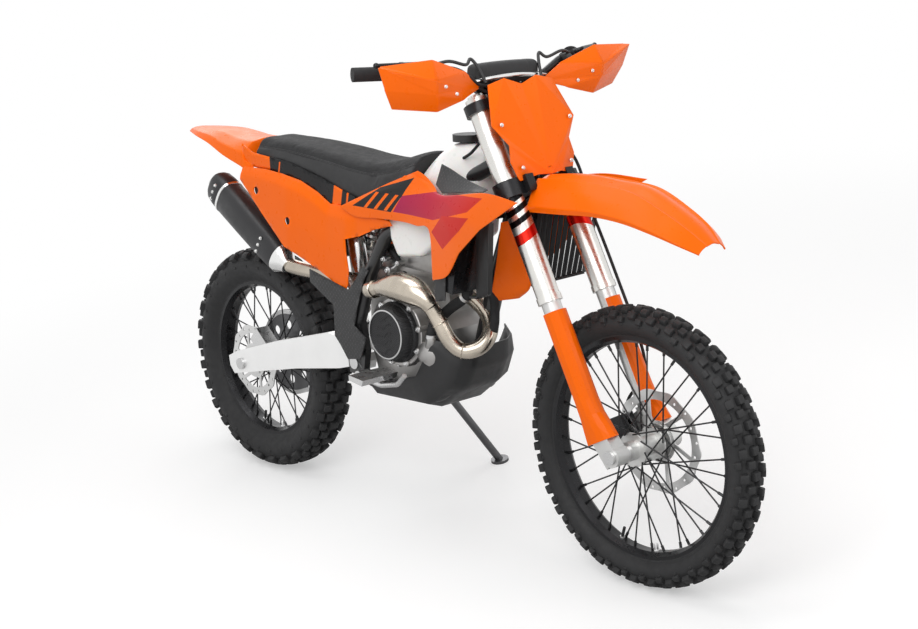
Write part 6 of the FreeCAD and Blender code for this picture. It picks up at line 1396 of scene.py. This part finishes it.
def pale_floor():
    """A grey floor that takes the bike's shadow and turns white further out."""
    n = Nodes("floor_pale")
    n.feed(n.shader, {"Base Color": (0.65, 0.65, 0.65, 1), "Roughness": 0.9,
                      "Specular IOR Level": 0.1})
    glow, white = n.add("ShaderNodeEmission"), n.add("ShaderNodeEmission")
    seen = ray_kinds(n.tree, ("Is Camera Ray",))
    n.feed(glow, {"Color": (1, 1, 1, 1), "Strength": n.math("MULTIPLY", seen, FLOOR_GLOW)})
    n.feed(white, {"Color": (1, 1, 1, 1), "Strength": 1.0})
    near = n.add("ShaderNodeAddShader")
    n.feed(near, {0: n.shader.outputs[0], 1: glow.outputs[0]})
    far = n.add("ShaderNodeVectorMath", operation="LENGTH")
    n.feed(far, {0: n.place})
    fade = n.add("ShaderNodeMapRange", interpolation_type="SMOOTHSTEP")
    n.feed(fade, {"Value": far.outputs["Value"], "From Min": 1.3, "From Max": 3.4})
    mix = n.add("ShaderNodeMixShader")
    n.feed(mix, {0: fade.outputs["Result"], 1: near.outputs[0], 2: white.outputs[0]})
    n.link(mix.outputs[0], n.tree.nodes["Material Output"].inputs["Surface"])
    return n.material


def stage():
    """A round floor and a white world, which lights the bike less than it shows."""
    mesh = bpy.data.meshes.new("floor")
    radius, steps = 6.0, 64
    points = [(0, 0, 0)] + [(radius * c, radius * s, 0) for c, s in circle(steps)]
    mesh.from_pydata(points, [], [(0, k + 1, (k + 1) % steps + 1) for k in range(steps)])
    floor = bpy.data.objects.new("floor", mesh)
    bpy.context.collection.objects.link(floor)
    mesh.materials.append(pale_floor())
    world = bpy.data.worlds.new("studio")
    bpy.context.scene.world = world
    world.use_nodes = True
    tree = world.node_tree
    back = tree.nodes["Background"]
    back.inputs["Color"].default_value = (1, 1, 1, 1)
    strength = tree.nodes.new("ShaderNodeMapRange")
    strength.inputs["To Min"].default_value = WORLD_LIGHT
    strength.inputs["To Max"].default_value = 1.0
    rays = ray_kinds(tree, ("Is Camera Ray", "Is Glossy Ray", "Is Transmission Ray"))
    tree.links.new(rays, strength.inputs["Value"])
    tree.links.new(strength.outputs["Result"], back.inputs["Strength"])


def area_light(name, place, target, width, height, power):
    """A soft rectangular lamp that faces a target."""
    data = bpy.data.lights.new(name, "AREA")
    data.shape = "RECTANGLE"
    data.size, data.size_y, data.energy = width, height, power
    lamp = bpy.data.objects.new(name, data)
    bpy.context.collection.objects.link(lamp)
    lamp.location = place
    way = Vector(place) - Vector(target)
    lamp.rotation_euler = way.to_track_quat("Z", "Y").to_euler()


def camera():
    """The photograph's view, fitted to the wheels, fork and bodywork."""
    azimuth, elevation, distance = -0.7416545, 0.2184192, 4219.0
    target, focal, roll = np.array((867.644, 0, 582.867)), 1602.62, -0.0398099
    sensor, image_width = 36.0, 918
    ce, se = math.cos(elevation), math.sin(elevation)
    back = np.array((ce * math.cos(azimuth), ce * math.sin(azimuth), se))
    right = np.cross(-back, (0, 0, 1.0))
    right /= np.linalg.norm(right)
    up = np.cross(right, -back)
    right, up = (math.cos(roll) * right + math.sin(roll) * up,
                 -math.sin(roll) * right + math.cos(roll) * up)
    place = at(target + back * distance)
    axes = TURN @ np.column_stack([right, up, back])
    matrix = Matrix(axes.tolist()).to_4x4()
    matrix.translation = Vector(place)
    data = bpy.data.cameras.new("camera")
    data.sensor_fit = "HORIZONTAL"
    data.sensor_width = sensor
    data.lens = focal * sensor / image_width
    data.shift_x, data.shift_y = -3.687 / image_width, 0.650 / image_width
    data.clip_end = 100
    obj = bpy.data.objects.new("camera", data)
    obj.matrix_world = matrix
    bpy.context.collection.objects.link(obj)
    bpy.context.scene.camera = obj


stage()
camera()
area_light("key", (1.6, -2.6, 3.6), (0, 0, 0.5), 3.0, 2.4, 75)
area_light("top", (-0.4, 0.2, 4.2), (0, 0, 0.6), 3.6, 2.4, 60)
area_light("front", (4.2, 0.6, 1.8), (0.2, 0, 0.6), 2.0, 2.4, 30)
area_light("back", (-3.6, 2.4, 2.6), (0, 0, 0.6), 2.4, 2.0, 25)
bpy.context.scene.view_settings.view_transform = "Standard"
